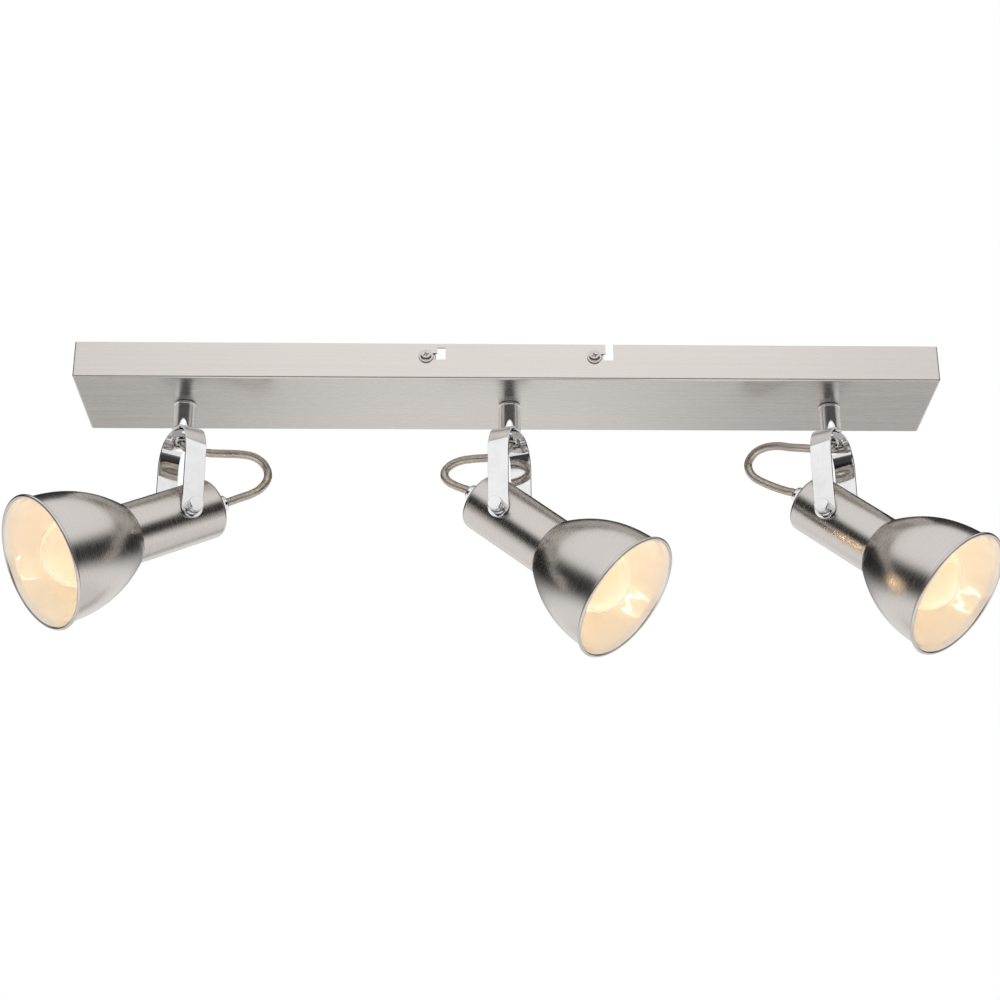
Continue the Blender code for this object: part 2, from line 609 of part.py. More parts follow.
def make_spots():
    """Yokes, cables and heads, each spot on its own pan and tilt empties."""
    yoke = yoke_mesh()
    head_pieces = (
        ("casing", casing_mesh(), "nickel"),
        ("gland", gland_mesh(), "chrome"),
        ("shade", shade_mesh(), "nickel"),
        ("shade_ring", turned_mesh("shade_ring", [(0.0178, 0.0450), (0.0178, 0.0402), (0.0144, 0.0402),
                                                  (0.0144, 0.0450)], 20), "porcelain"),
        ("lampholder", lampholder_mesh(), "porcelain"),
        ("bulb_cap", bulb_cap_mesh(), "brass"),
        ("bulb_glass", bulb_glass_mesh(), "glass"),
        ("bulb_mount", bulb_mount_mesh(), "glass"),
    )
    screw = thumb_screw_mesh()
    for key, x, pan, dip, route in SPOTS:
        turn = math.radians(pan)
        pan_empty = add_empty(f"pan_{key}", (x, 0.0, PIVOT_Z), (0.0, 0.0, turn))
        head_turn = math.radians(90.0 + dip)
        head_empty = add_empty(f"head_{key}", (0.0, 0.0, 0.0), (0.0, head_turn, 0.0), pan_empty)
        add_object(f"yoke_{key}", yoke, "chrome").parent = pan_empty
        axis = Vector((math.cos(math.radians(dip)), 0.0, -math.sin(math.radians(dip)))) * 1000
        ends = [tuple(axis * (CASING_REAR - 0.0126)), tuple(axis * (CASING_REAR + 0.0060)),
                tuple(axis * -0.0006)]
        points = smooth_route(list(route) + ends, 0.0052)
        tube(f"cable_{key}", points, CABLE_RADIUS, "braid").parent = pan_empty
        for name, mesh, finish in head_pieces:
            add_object(f"{name}_{key}", mesh, finish).parent = head_empty
        front = "rear" if math.cos(turn) > 0 else "front"
        back = "front" if front == "rear" else "rear"
        for side, place in ((1, front), (-1, back)):
            pin = add_object(f"thumb_screw_{key}_{place}", screw, "chrome")
            pin.parent = pan_empty
            pin.rotation_euler = (-side * math.pi / 2, 0.0, 0.0)


def make_leads():
    """The inner wiring from each stem to the terminal block."""
    for key, route in LEAD_ROUTES:
        tube(f"lead_{key}", smooth_route(route, 0.010), LEAD_RADIUS, "lead_sleeve")


def tidy_guides():
    """Cutters that only shaped a baked mesh are no longer needed."""
    used = {modifier.object for thing in PARTS.objects for modifier in thing.modifiers
            if modifier.type == "BOOLEAN"}
    for cutter in list(CUTTERS.objects):
        if cutter not in used:
            bpy.data.objects.remove(cutter, do_unlink=True)


clear_scene()
PARTS = new_collection("track_lighting_fixture")
CUTTERS = new_collection("cutters")
MATERIALS = {name: make_finish(name) for name in FINISHES}
make_canopy()
make_bracket()
make_side_screws()
make_stems()
make_terminal_block()
make_earth_screw()
make_spots()
make_leads()
tidy_guides()
bpy.context.view_layer.update()
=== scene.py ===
"""The finished look of the three-spot ceiling bar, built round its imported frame."""
import json
import math

import bmesh
import bpy
from bpy.props import FloatProperty, FloatVectorProperty, IntProperty, PointerProperty
from mathutils import Matrix, Vector

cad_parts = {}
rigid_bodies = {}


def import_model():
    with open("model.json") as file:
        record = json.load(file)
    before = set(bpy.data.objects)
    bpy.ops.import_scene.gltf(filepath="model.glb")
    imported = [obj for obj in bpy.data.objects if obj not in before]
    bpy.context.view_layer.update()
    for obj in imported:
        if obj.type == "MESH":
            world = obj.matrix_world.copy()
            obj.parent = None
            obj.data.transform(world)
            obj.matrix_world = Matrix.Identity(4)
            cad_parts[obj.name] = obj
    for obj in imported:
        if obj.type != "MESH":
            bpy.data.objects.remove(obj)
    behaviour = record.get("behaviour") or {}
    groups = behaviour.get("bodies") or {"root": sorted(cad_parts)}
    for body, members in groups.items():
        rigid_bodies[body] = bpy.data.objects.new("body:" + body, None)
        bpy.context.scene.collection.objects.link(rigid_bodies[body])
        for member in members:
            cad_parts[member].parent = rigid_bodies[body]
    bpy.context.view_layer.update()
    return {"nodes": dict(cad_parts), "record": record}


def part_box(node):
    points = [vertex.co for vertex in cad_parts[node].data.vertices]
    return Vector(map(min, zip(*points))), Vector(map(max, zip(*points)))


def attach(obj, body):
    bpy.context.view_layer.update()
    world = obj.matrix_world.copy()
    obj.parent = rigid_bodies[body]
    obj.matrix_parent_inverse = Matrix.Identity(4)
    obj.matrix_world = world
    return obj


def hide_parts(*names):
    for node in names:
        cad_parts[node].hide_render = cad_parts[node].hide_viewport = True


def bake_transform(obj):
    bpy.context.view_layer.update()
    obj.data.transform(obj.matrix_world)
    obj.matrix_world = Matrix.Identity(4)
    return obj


bl_info = {
    "name": "Three-spot ceiling bar",
    "version": (1, 0, 0),
    "blender": (4, 5, 0),
    "location": "3D View > Sidebar > Spot Bar",
    "description": "Builds the canopy, yokes, lamp heads, cables and stage of a ceiling spot bar",
    "category": "Add Mesh",
}

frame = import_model()
JOINTS = {joint["name"]: joint for joint in frame["record"]["behaviour"]["joints"]}
SPOT_KEYS = ("a", "b", "c")
# Each spot's thumb screws, the one on its tilt axis's own side first
KNOB_SIDES = {"a": ("front", "rear"), "b": ("rear", "front"), "c": ("rear", "front")}

# Lengths in metres, as in the frame
MILLIMETRE = 0.001
CANOPY_LENGTH = 0.560
CANOPY_WIDTH = 0.076
CANOPY_HEIGHT = 0.0254
CANOPY_SHEET = 0.0010
SCREW_X = 0.0545
SCREW_Z = -0.0092
STEM_TOP = -0.0257
STEM_LENGTH = 0.0196
STEM_RADIUS = 0.00725
CROWN_TOP = -0.0456
PIVOT_DROP = 0.0617
YOKE_HALF_WIDTH = 0.0220
YOKE_WIDTH = 0.0140
YOKE_SHEET = 0.0015
YOKE_ARCH = 0.0200
CROWN_FLAT = 0.0060
THREAD_HOLE = 0.0053
CASING_RADIUS = 0.0196
CASING_REAR = -0.0249
GLAND_BACK = CASING_REAR - 0.0003
GLAND_BORE = 0.0031
SHADE_START = 0.0390
SHADE_LENGTH = 0.0590
NECK_RADIUS = 0.0202
MOUTH_RADIUS = 0.0404
LIP_RADIUS = 0.04322
LIP_BEAD = 0.0012
BELL_STEPS = 160
BULB_RADIUS = 0.0225
BULB_CENTRE = 0.0750
CAP_TOP = 0.0445
CAP_RADIUS = 0.0068
BLOCK_CENTRE = Vector((0.105, 0.0180, -0.0180))
POLE_PITCH = 0.011
LEAD_RADIUS = 0.0018

# Cable routes in millimetres, forward, sideways and up from each spot's tilt axis
CABLE_ROUTES = {
    "a": ((0, 0, 77), (0, 0, 60), (0, 0, 53.8), (-2.4, 0.5, 50.2), (-9, 1.4, 49.4), (-17.5, 2.2, 49.8),
          (-27, 3, 51.4), (-38, 4, 53.4), (-47.5, 5, 53.8), (-55, 5.5, 50.8), (-59.4, 5, 44.8),
          (-59, 4, 38.6), (-54.5, 3, 32), (-48.5, 1.6, 27.6), (-42, 0.6, 24), (-36.5, 0, 20.8)),
    "b": ((0, 0, 77), (0, 0, 60), (0, 0, 53.6), (-1.8, -0.2, 49.4), (-7, -0.6, 46.6), (-14, -1, 45.6),
          (-24, -1.4, 46.4), (-33.5, -1.8, 46.4), (-40.7, -1.8, 44.4), (-44.9, -1.4, 41),
          (-45.4, -1, 37), (-42.6, -0.6, 33), (-38, -0.2, 29.8), (-33, 0, 27)),
    "c": ((0, 0, 77), (0, 0, 60), (0, 0, 53.4), (-2, -1.5, 50.4), (-8.6, -5.4, 50.6), (-16, -8.5, 51.8),
          (-25, -10, 54), (-34, -10.6, 57), (-43, -10.6, 58), (-51, -10, 56.2), (-56.4, -8.5, 51.4),
          (-57, -7, 46), (-54, -5.4, 40.6), (-48, -3.6, 36), (-41, -1.6, 31.8), (-33, -0.2, 27.6)),
}
# Inner lead routes in millimetres from the canopy's middle
LEAD_ROUTES = {
    "a": ((-212.75, 0, -29.6), (-212.75, 0, -15.6), (-211, -1, -10.5), (-204, -5, -9.5),
          (-192, -10, -14), (-170, -15, -20), (-110, -17, -21.6), (-30, -16, -21.6),
          (40, -15, -21.6), (76, -13, -21.4), (98, -8, -20), (104.6, 0, -18.4), (105, 9.7, -18)),
    "b": ((0, 0, -29.6), (0, 0, -15.6), (1.6, 0.8, -10.5), (8, 3.5, -9), (18, 7, -12),
          (34, 10, -19), (60, 8, -21.4), (80, 2.6, -20.6), (90.6, 1.4, -18.6), (94, 5, -18),
          (94, 9.7, -18)),
    "c": ((212.75, 0, -29.6), (212.75, 0, -15.6), (211, -0.8, -10.5), (204, -3.5, -9.5),
          (192, -7, -14), (168, -9, -20), (140, -7, -21.2), (122, -3, -19.4), (116.4, 3, -18),
          (116, 9.7, -18)),
}

# A smaller radius than this lies on the axis
ON_AXIS = 1e-7
# Edges that turn by more than this stay sharp
SHARP_ANGLE = math.radians(32.0)

# The camera: place, turn in degrees (yaw, pitch, roll), focal length and sideways shift
CAMERA_PLACE = (-0.026836, -1.204281, -0.629313)
CAMERA_ANGLES = (2.8166, 23.9472, -1.0148)
CAMERA_LENS = 73.24
CAMERA_SHIFT = -0.06
FLOOR_CENTRE = (0.0, 0.25, -0.9)
FLOOR_HALF_SIZE = 1.1


# ---- frames of the moving parts

def tilt_frame(key, along):
    """A frame on the spot's tilt axis, with +Y along that axis and +Z along a direction."""
    tilt = JOINTS[f"tilt_{key}"]
    across = Vector(tilt["axis"]).normalized()
    turn = Matrix((across.cross(along), across, along)).transposed().to_4x4()
    return Matrix.Translation(tilt["pos_m"]) @ turn


def pan_frame(key):
    """The spot's frame with +X the way it points and +Z up."""
    return tilt_frame(key, Vector((0.0, 0.0, 1.0)))


def head_frame(key):
    """The spot's frame with +Z the lamp's own axis."""
    return tilt_frame(key, Vector(JOINTS[f"bulb_unscrew_{key}"]["axis"]).normalized())


def stem_frame(key):
    """The stem's frame: its axis, at the ceiling."""
    place = Vector(JOINTS[f"pan_{key}"]["pos_m"])
    return Matrix.Translation((place.x, place.y, 0.0))


# ---- outlines and meshes

def arc(centre, radius, start, end, count):
    """Points of an arc in a plane, angles in degrees."""
    angles = [math.radians(start + (end - start) * step / count) for step in range(count + 1)]
    return [(centre[0] + radius * math.cos(a), centre[1] + radius * math.sin(a)) for a in angles]


def softened(corners, steps):
    """An outline from (x, y, rounding) corners, each rounded by its own amount."""
    points = []
    for i, (x, y, rounding) in enumerate(corners):
        here = Vector((x, y))
        before = Vector(corners[i - 1][:2]) - here
        after = Vector(corners[(i + 1) % len(corners)][:2]) - here
        if not rounding or before.length < 1e-7 or after.length < 1e-7:
            points.append((x, y))
            continue
        reach = min(rounding, before.length * 0.48, after.length * 0.48)
        start = here + before.normalized() * reach
        end = here + after.normalized() * reach
        for step in range(steps + 1):
            t = step / steps
            point = start * (1 - t) ** 2 + here * (2 * t * (1 - t)) + end * t ** 2
            points.append(tuple(point))
    return points


def turned(name, profile, steps=96):
    """A piece turned about +Z from (radius, height) points running down its outer side.

    A profile that starts on the axis also ends there; any other is closed into a ring. The "grain"
    attribute holds the direction round the axis and the run along the profile.
    """
    closed = profile[0][0] > ON_AXIS
    points, grain, rings, run = [], [], [], 0.0
    for i, (radius, height) in enumerate(profile):
        if i:
            run += math.dist(profile[i - 1], profile[i])
        if radius < ON_AXIS:
            rings.append([len(points)] * steps)
            points.append((0.0, 0.0, height))
            grain.append((0.0, 0.0, run))
            continue
        rings.append(list(range(len(points), len(points) + steps)))
        for step in range(steps):
            angle = 2 * math.pi * step / steps
            points.append((radius * math.cos(angle), radius * math.sin(angle), height))
            grain.append((math.cos(angle), math.sin(angle), run))
    faces = []
    for i in range(len(rings) if closed else len(rings) - 1):
        top, low = rings[i], rings[(i + 1) % len(rings)]
        for step in range(steps):
            turn = (step + 1) % steps
            face = [top[step], low[step], low[turn], top[turn]]
            face = [v for n, v in enumerate(face) if v not in face[:n]]
            if len(face) > 2:
                faces.append(face)
    mesh = bpy.data.meshes.new(name)
    mesh.from_pydata(points, [], faces)
    mesh.attributes.new("grain", "FLOAT_VECTOR", "POINT").data.foreach_set(
        "vector", [value for vector in grain for value in vector])
    return smooth(mesh)


def lathe(name, corners, rounding_steps, steps):
    """A piece turned about +Z from (radius, height, rounding) corners."""
    return turned(name, softened(corners, rounding_steps), steps)


def pin(name, radius, top, low, steps):
    """A plain round cutter along +Z."""
    return turned(name, [(0.0, top), (radius, top), (radius, low), (0.0, low)], steps)


def smooth(mesh):
    """Smooth the round faces and keep hard edges sharp."""
    mesh.shade_smooth()
    mesh.set_sharp_from_angle(angle=SHARP_ANGLE)
    mesh.update()
    return mesh


def helper(name, data):
    """A passing object that only exists while a mesh is worked out."""
    thing = bpy.data.objects.new(name, data)
    bpy.context.scene.collection.objects.link(thing)
    return thing


def poured(shell, mesh):
    """The mesh filled from a bmesh, which goes."""
    shell.to_mesh(mesh)
    shell.free()
    return mesh


def evaluated(thing, **options):
    """A new mesh of a helper with its modifiers."""
    bpy.context.view_layer.update()
    graph = bpy.context.evaluated_depsgraph_get()
    return bpy.data.meshes.new_from_object(thing.evaluated_get(graph), depsgraph=graph, **options)


def settled(thing, name, weld=0.000002):
    """The plain mesh of a helper with its modifiers; the helper goes."""
    mesh = evaluated(thing)
    old = thing.data
    bpy.data.objects.remove(thing, do_unlink=True)
    if old.users == 0:
        bpy.data.batch_remove([old])
    mesh.name = name
    if weld:
        shell = bmesh.new()
        shell.from_mesh(mesh)
        bmesh.ops.remove_doubles(shell, verts=shell.verts, dist=weld)
        poured(shell, mesh)
    return smooth(mesh)


def plate(name, outlines, thickness, edge=0.0):
    """A flat piece in XY from an outline and its holes, its edges rounded by edge."""
    curve = bpy.data.curves.new(name, "CURVE")
    curve.dimensions = "2D"
    curve.fill_mode = "BOTH"
    curve.extrude = thickness / 2 - edge
    curve.bevel_depth = edge
    curve.bevel_resolution = 1
    curve.offset = -edge
    for outline in outlines:
        spline = curve.splines.new("POLY")
        spline.points.add(len(outline) - 1)
        for point, place in zip(spline.points, outline):
            point.co = (place[0], place[1], 0.0, 1.0)
        spline.use_cyclic_u = True
    return settled(helper(name, curve), name)


def box_shell(size, centre):
    """A plain box as a bmesh."""
    shell = bmesh.new()
    bmesh.ops.create_cube(shell, size=1.0)
    place = Matrix.Translation(centre) @ Matrix.Diagonal((*size, 1.0))
    bmesh.ops.transform(shell, matrix=place, verts=shell.verts)
    return shell


def block(name, size, centre, edge=0.0, segments=1):
    """A box, its edges rounded by edge."""
    shell = box_shell(size, centre)
    if edge:
        bmesh.ops.bevel(shell, geom=shell.edges, offset=edge, segments=segments, profile=0.5,
                        affect="EDGES")
    return smooth(poured(shell, bpy.data.meshes.new(name)))


def moved(mesh, matrix):
    """The same mesh, shifted or turned."""
    mesh.transform(matrix)
    mesh.update()
    return mesh


def shifted(mesh, place):
    """The same mesh, shifted."""
    return moved(mesh, Matrix.Translation(place))


def cut(name, base, cutters, operation="DIFFERENCE"):
    """A mesh after each cutter mesh is taken out of it, or kept only where they meet."""
    thing = helper(name, base)
    tools = []
    for mesh in cutters:
        tool = helper(name + "_tool", mesh)
        modifier = thing.modifiers.new("Boolean", "BOOLEAN")
        modifier.operation = operation
        modifier.object = tool
        modifier.solver = "EXACT"
        tools.append(tool)
    result = settled(thing, name)
    for tool in tools:
        data = tool.data
        bpy.data.objects.remove(tool, do_unlink=True)
        bpy.data.batch_remove([data])
    return result


def smooth_route(route, spacing):
    """Points along a smooth curve through a route in millimetres, about a spacing in metres apart."""
    knots = [Vector(point) * MILLIMETRE for point in route]
    knots = [2 * knots[0] - knots[1]] + knots + [2 * knots[-1] - knots[-2]]
    points = []
    for before, start, end, after in zip(knots, knots[1:], knots[2:], knots[3:]):
        count = max(1, round((end - start).length / spacing))
        for step in range(count):
            t = step / count
            points.append(0.5 * (2 * start + (end - before) * t
                                 + (2 * before - 5 * start + 4 * end - after) * t ** 2
                                 + (3 * start - before - 3 * end + after) * t ** 3))
    points.append(knots[-2])
    return points


def run_length(points):
    """The length of a line of points."""
    return sum((b - a).length for a, b in zip(points, points[1:]))


def line_curve(name, points, radius=0.0, sides=3):
    """An open curve through points, round and closed at its ends if it has a radius."""
    curve = bpy.data.curves.new(name, "CURVE")
    curve.dimensions = "3D"
    curve.bevel_depth = radius
    curve.bevel_resolution = sides
    curve.use_fill_caps = True
    spline = curve.splines.new("POLY")
    spline.points.add(len(points) - 1)
    for point, place in zip(spline.points, points):
        point.co = (*place, 1.0)
    return curve


def wire(name, points, radius, sides):
    """A round wire along points, as a plain mesh."""
    return settled(helper(name, line_curve(name, points, radius, sides)), name)


# ---- pieces and how they are kept

def keep_flats(thing):
    """Shade the broad flat faces as flat where small rounded edges meet them."""
    modifier = thing.modifiers.new("Flats", "WEIGHTED_NORMAL")
    modifier.weight = 100
    modifier.keep_sharp = True
    mesh = evaluated(thing, preserve_all_data_layers=True)
    old = thing.data
    thing.modifiers.clear()
    thing.data = mesh
    bpy.data.batch_remove([old])


def piece(name, parts, body, replaces):
    """Join (mesh, finishes) parts into one named piece on a body, standing for CAD nodes.

    A piece with no body is left unattached to any body.
    """
    things = []
    for number, (mesh, finishes) in enumerate(parts):
        painted = [face.material_index for face in mesh.polygons]
        mesh.materials.clear()
        for material in finishes:
            mesh.materials.append(material)
        mesh.polygons.foreach_set("material_index", [min(i, len(finishes) - 1) for i in painted])
        things.append(helper(name if number == 0 else f"{name}_{number}", mesh))
    if len(things) > 1:
        with bpy.context.temp_override(active_object=things[0], selected_editable_objects=things,
                                       selected_objects=things, object=things[0]):
            bpy.ops.object.join()
    whole = things[0]
    if body:
        keep_flats(whole)
        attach(whole, body)
    whole.data.name = name
    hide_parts(*replaces)
    return whole


def single(name, mesh, look, body, replaced):
    """A piece of one mesh and one finish, standing for one CAD node."""
    return piece(name, [(mesh, [finish(look)])], body, [replaced])


def all_moved(parts, matrix):
    """The same (mesh, finishes) parts, shifted or turned together."""
    for mesh, _ in parts:
        moved(mesh, matrix)
    return parts


def repaint(nodes, material):
    """Give CAD nodes that keep their own shape a finish."""
    for node in nodes:
        thing = frame["nodes"][node]
        for slot in thing.material_slots:
            slot.material = material


# ---- shader maths

class Amount:
    """A number that varies over a surface: arithmetic on it adds Math nodes."""

    def __init__(self, paint, socket):
        self.paint = paint
        self.socket = socket

    def maths(self, operation, first, second):
        node = self.paint.node("ShaderNodeMath", {"operation": operation}, {0: first, 1: second})
        return Amount(self.paint, node.outputs[0])

    def __add__(self, other):
        return self.maths("ADD", self, other)

    def __mul__(self, other):
        return self.maths("MULTIPLY", self, other)

    def __sub__(self, other):
        return self.maths("SUBTRACT", self, other)

    def size(self):
        return self.maths("ABSOLUTE", self, 0.0)


class Paint:
    """One material and the nodes that are added to it."""

    def __init__(self, name, world=False):
        self.owner = bpy.data.worlds.new(name) if world else bpy.data.materials.new(name)
        self.owner.use_nodes = True
        self.tree = self.owner.node_tree
        self.shader = self.tree.nodes.get("Principled BSDF") or self.tree.nodes.get("Background")

    def node(self, kind, settings=None, values=None):
        """Add a node, make its settings, then fill or link its sockets."""
        node = self.tree.nodes.new(kind)
        for key, value in (settings or {}).items():
            setattr(node, key, value)
        for key, value in (values or {}).items():
            self.feed(node.inputs[key], value)
        return node

    def feed(self, socket, value):
        """Link a socket, or set it if the value is a plain one."""
        if isinstance(value, Amount):
            value = value.socket
        if isinstance(value, bpy.types.NodeSocket):
            self.tree.links.new(value, socket)
        else:
            socket.default_value = value

    def set(self, **values):
        """Set or link the shader's own sockets, underscores standing for spaces."""
        for key, value in values.items():
            self.feed(self.shader.inputs[key.replace("_", " ")], value)

    def place(self):
        """Object coordinates."""
        return self.node("ShaderNodeTexCoord").outputs["Object"]

    def grain(self):
        """The direction round a turned piece and the run along it."""
        return self.node("ShaderNodeAttribute", {"attribute_name": "grain"}).outputs["Vector"]

    def stretched(self, vector, scale):
        """A vector scaled by its own amount each way."""
        return self.node("ShaderNodeMapping", None, {"Vector": vector, "Scale": scale}).outputs[0]

    def noise(self, vector, scale=1.0, detail=2.0, roughness=0.5):
        """Soft random mottling between 0 and 1."""
        node = self.node("ShaderNodeTexNoise", None, {"Vector": vector, "Scale": scale,
                                                      "Detail": detail, "Roughness": roughness})
        return Amount(self, node.outputs["Fac"])

    def between(self, amount, low, high, start=0.0, end=1.0):
        """An amount carried from one range to another, and kept in it."""
        node = self.node("ShaderNodeMapRange", {"interpolation_type": "SMOOTHSTEP"},
                         {"Value": amount, "From Min": low, "From Max": high, "To Min": start,
                          "To Max": end})
        return Amount(self, node.outputs["Result"])

    def mix(self, factor, first, second):
        """A colour between two, by a factor."""
        node = self.node("ShaderNodeMix", {"data_type": "RGBA"},
                         {0: factor, 6: rgba(first), 7: rgba(second)})
        return node.outputs[2]

    def bump(self, height, distance, strength):
        """A bump from a height between 0 and 1."""
        return self.node("ShaderNodeBump", None, {"Height": height, "Distance": distance,
                                                  "Strength": strength}).outputs[0]


def rgba(colour):
    """A colour with its alpha, or the socket it comes from."""
    if isinstance(colour, bpy.types.NodeSocket):
        return colour
    return (*colour[:3], 1.0)


def shade_of(colour, factor):
    """A lighter or darker version of a colour."""
    return tuple(min(1.0, channel * factor) for channel in colour[:3])


def brushed_nickel(name, colour, round_grain, roughness):
    """Satin nickel with fine parallel brush lines, lengthwise or round a turned piece."""
    paint = Paint(name)
    if round_grain:
        vector = paint.grain()
        scales = ((1.6, 1.6, 5200.0), (0.9, 0.9, 1500.0), (2.0, 2.0, 60.0))
    else:
        vector = paint.place()
        scales = ((9.0, 4200.0, 4200.0), (3.0, 900.0, 900.0), (9.0, 30.0, 30.0))
    fine, broad, cloud = [paint.stretched(vector, scale) for scale in scales]
    lines = paint.noise(fine, 1.0, 3.0, 0.6)
    bands = paint.noise(broad)
    tint = paint.noise(cloud)
    tone = lines * 0.55 + bands * 0.30 + tint * 0.15
    paint.set(Base_Color=paint.mix(paint.between(tone, 0.34, 0.66), shade_of(colour, 0.965),
                                   shade_of(colour, 1.035)),
              Roughness=paint.between(lines, 0.3, 0.7, roughness - 0.03, roughness + 0.05),
              Metallic=1.0,
              Normal=paint.bump(lines * 0.7 + bands * 0.3, 0.000006, 0.25))
    return paint.owner


def polished(name, colour, roughness, smudge=0.03):
    """A plated, polished metal with faint handling marks."""
    paint = Paint(name)
    place = paint.place()
    marks = paint.noise(place, 140.0, 4.0, 0.6)
    scratches = paint.noise(paint.stretched(place, (900.0, 160.0, 500.0)))
    paint.set(Base_Color=paint.mix(paint.between(marks, 0.35, 0.7), colour, shade_of(colour, 0.94)),
              Roughness=paint.between(marks * 0.7 + scratches * 0.3, 0.4, 0.65, roughness,
                                      roughness + smudge),
              Metallic=1.0, Normal=paint.bump(marks, 0.00001, 0.2))
    return paint.owner


def enamel(name, colour, glow, glow_strength):
    """Glossy white paint, with a painted glow in the lamps' colour standing in for the light of the
    lamp inside it.
    """
    paint = Paint(name)
    place = paint.place()
    peel = paint.noise(place, 900.0)
    broad = paint.noise(place, 60.0)
    paint.set(Base_Color=paint.mix(paint.between(broad, 0.3, 0.7), colour, shade_of(colour, 0.97)),
              Roughness=paint.between(broad, 0.3, 0.7, 0.18, 0.26),
              Coat_Weight=0.8, Coat_Roughness=0.04,
              # Painted light: the emission makes the paint glow in the lamps' colour, though the paint
              # is no lamp.
              Emission_Color=rgba(glow), Emission_Strength=glow_strength,
              Normal=paint.bump(peel, 0.00001, 0.3))
    return paint.owner


def moulded(name, colour, roughness, grain=600.0):
    """A moulded or fired piece with a faint surface grain."""
    paint = Paint(name)
    place = paint.place()
    fine = paint.noise(place, grain, 3.0, 0.6)
    broad = paint.noise(place, 90.0)
    paint.set(Base_Color=paint.mix(paint.between(broad, 0.3, 0.7), colour, shade_of(colour, 0.92)),
              Roughness=paint.between(fine, 0.3, 0.7, roughness - 0.06, roughness + 0.08),
              Normal=paint.bump(fine, 0.00005, 0.4))
    return paint.owner


def blown_glass(name, colour, clear, glow, glow_strength):
    """Thin glass: clear when looked at squarely, denser and brighter towards its edge."""
    paint = Paint(name)
    facing = Amount(paint, paint.node("ShaderNodeLayerWeight", None, {"Blend": 0.35}).outputs["Facing"])
    swirl = paint.noise(paint.place(), 45.0, 1.0, 0.4)
    paint.set(Base_Color=rgba(colour), Roughness=0.03, IOR=1.45, Coat_Weight=1.0, Coat_Roughness=0.02,
              Alpha=paint.between(facing, 0.0, 0.9, clear, 0.62),
              Emission_Color=rgba(glow), Emission_Strength=glow_strength,
              Normal=paint.bump(swirl, 0.0003, 0.2))
    return paint.owner


def glowing(name, colour, strength):
    """The white-hot filament."""
    paint = Paint(name)
    hot = paint.noise(paint.place(), 700.0, 1.0, 0.5)
    paint.set(Base_Color=(0.1, 0.08, 0.06, 1.0), Roughness=0.6,
              Emission_Color=paint.mix(paint.between(hot, 0.3, 0.7), colour, shade_of(colour, 0.85)),
              Emission_Strength=strength)
    return paint.owner


def metal_braid(name, colour, dark):
    """Fine metal braid: bright wires over a dark inner sleeve, duller in patches."""
    paint = Paint(name)
    place = paint.place()
    fine = paint.noise(place, 2400.0, 2.0, 0.6)
    patch = paint.noise(place, 120.0, 3.0, 0.6)
    paint.set(Base_Color=paint.mix(paint.between(fine * 0.7 + patch * 0.3, 0.3, 0.6), dark, colour),
              Roughness=paint.between(patch, 0.3, 0.7, 0.26, 0.38),
              Metallic=1.0,
              Normal=paint.bump(fine, 0.00002, 0.4))
    return paint.owner


def zinc_plate(name, colour):
    """Bright zinc with a faint crystalline mottle."""
    paint = Paint(name)
    cells = paint.node("ShaderNodeTexVoronoi", {"feature": "F1"}, {"Vector": paint.place(),
                                                                   "Scale": 260.0})
    mottle = Amount(paint, cells.outputs["Distance"])
    haze = paint.noise(paint.place(), 70.0, 3.0, 0.6)
    paint.set(Base_Color=paint.mix(paint.between(mottle * 0.5 + haze * 0.5, 0.25, 0.65),
                                   shade_of(colour, 0.85), shade_of(colour, 1.08)),
              Roughness=paint.between(haze, 0.3, 0.7, 0.3, 0.48), Metallic=1.0,
              Normal=paint.bump(mottle, 0.00003, 0.3))
    return paint.owner


FINISHES = {}


def finish(name):
    """One of the fixture's finishes, made the first time that it is asked for."""
    if name in FINISHES:
        return FINISHES[name]
    look = bpy.context.scene.spot_bar_look
    nickel = tuple(look.nickel_colour)
    chrome = tuple(look.chrome_colour)
    glow = tuple(look.glow_colour)
    makers = {
        "canopy": lambda: brushed_nickel("canopy_nickel", nickel, False, look.nickel_roughness),
        "lamp": lambda: brushed_nickel("lamp_nickel", nickel, True, look.nickel_roughness - 0.02),
        "screw": lambda: polished("screw_nickel", shade_of(nickel, 1.05), 0.2, 0.08),
        "chrome": lambda: polished("chrome", chrome, 0.05),
        "zinc": lambda: zinc_plate("zinc", (0.60, 0.60, 0.59)),
        # The shades' white enamel carries a painted glow in the lamps' colour.
        "enamel": lambda: enamel("white_enamel_painted_glow", tuple(look.enamel_colour), glow, look.enamel_painted_glow),
        "porcelain": lambda: moulded("porcelain", (0.84, 0.83, 0.80), 0.28, 300.0),
        "nylon": lambda: moulded("white_nylon", (0.82, 0.81, 0.77), 0.5),
        "rubber": lambda: moulded("black_rubber", (0.03, 0.028, 0.026), 0.6, 900.0),
        "sleeve": lambda: moulded("lead_sleeve", (0.74, 0.72, 0.66), 0.7, 1500.0),
        "glass": lambda: blown_glass("bulb_glass", (1.0, 0.94, 0.84), look.glass_clear, glow,
                                     look.glass_glow),
        "mount_glass": lambda: blown_glass("mount_glass", (0.70, 0.42, 0.20), 0.6, glow, 0.12),
        "filament": lambda: glowing("filament", tuple(look.filament_colour), look.filament_glow),
        "brass": lambda: polished("brass", (0.74, 0.60, 0.36), 0.22, 0.12),
        "steel_wire": lambda: polished("steel_wire", (0.62, 0.60, 0.57), 0.25, 0.1),
        "braid": lambda: metal_braid("cable_braid", tuple(look.braid_colour),
                                     shade_of(look.braid_colour, 0.75)),
        "braid_core": lambda: metal_braid("cable_core", shade_of(look.braid_colour, 0.95),
                                          shade_of(look.braid_colour, 0.62)),
    }
    FINISHES[name] = makers[name]()
    return FINISHES[name]


# ---- geometry nodes

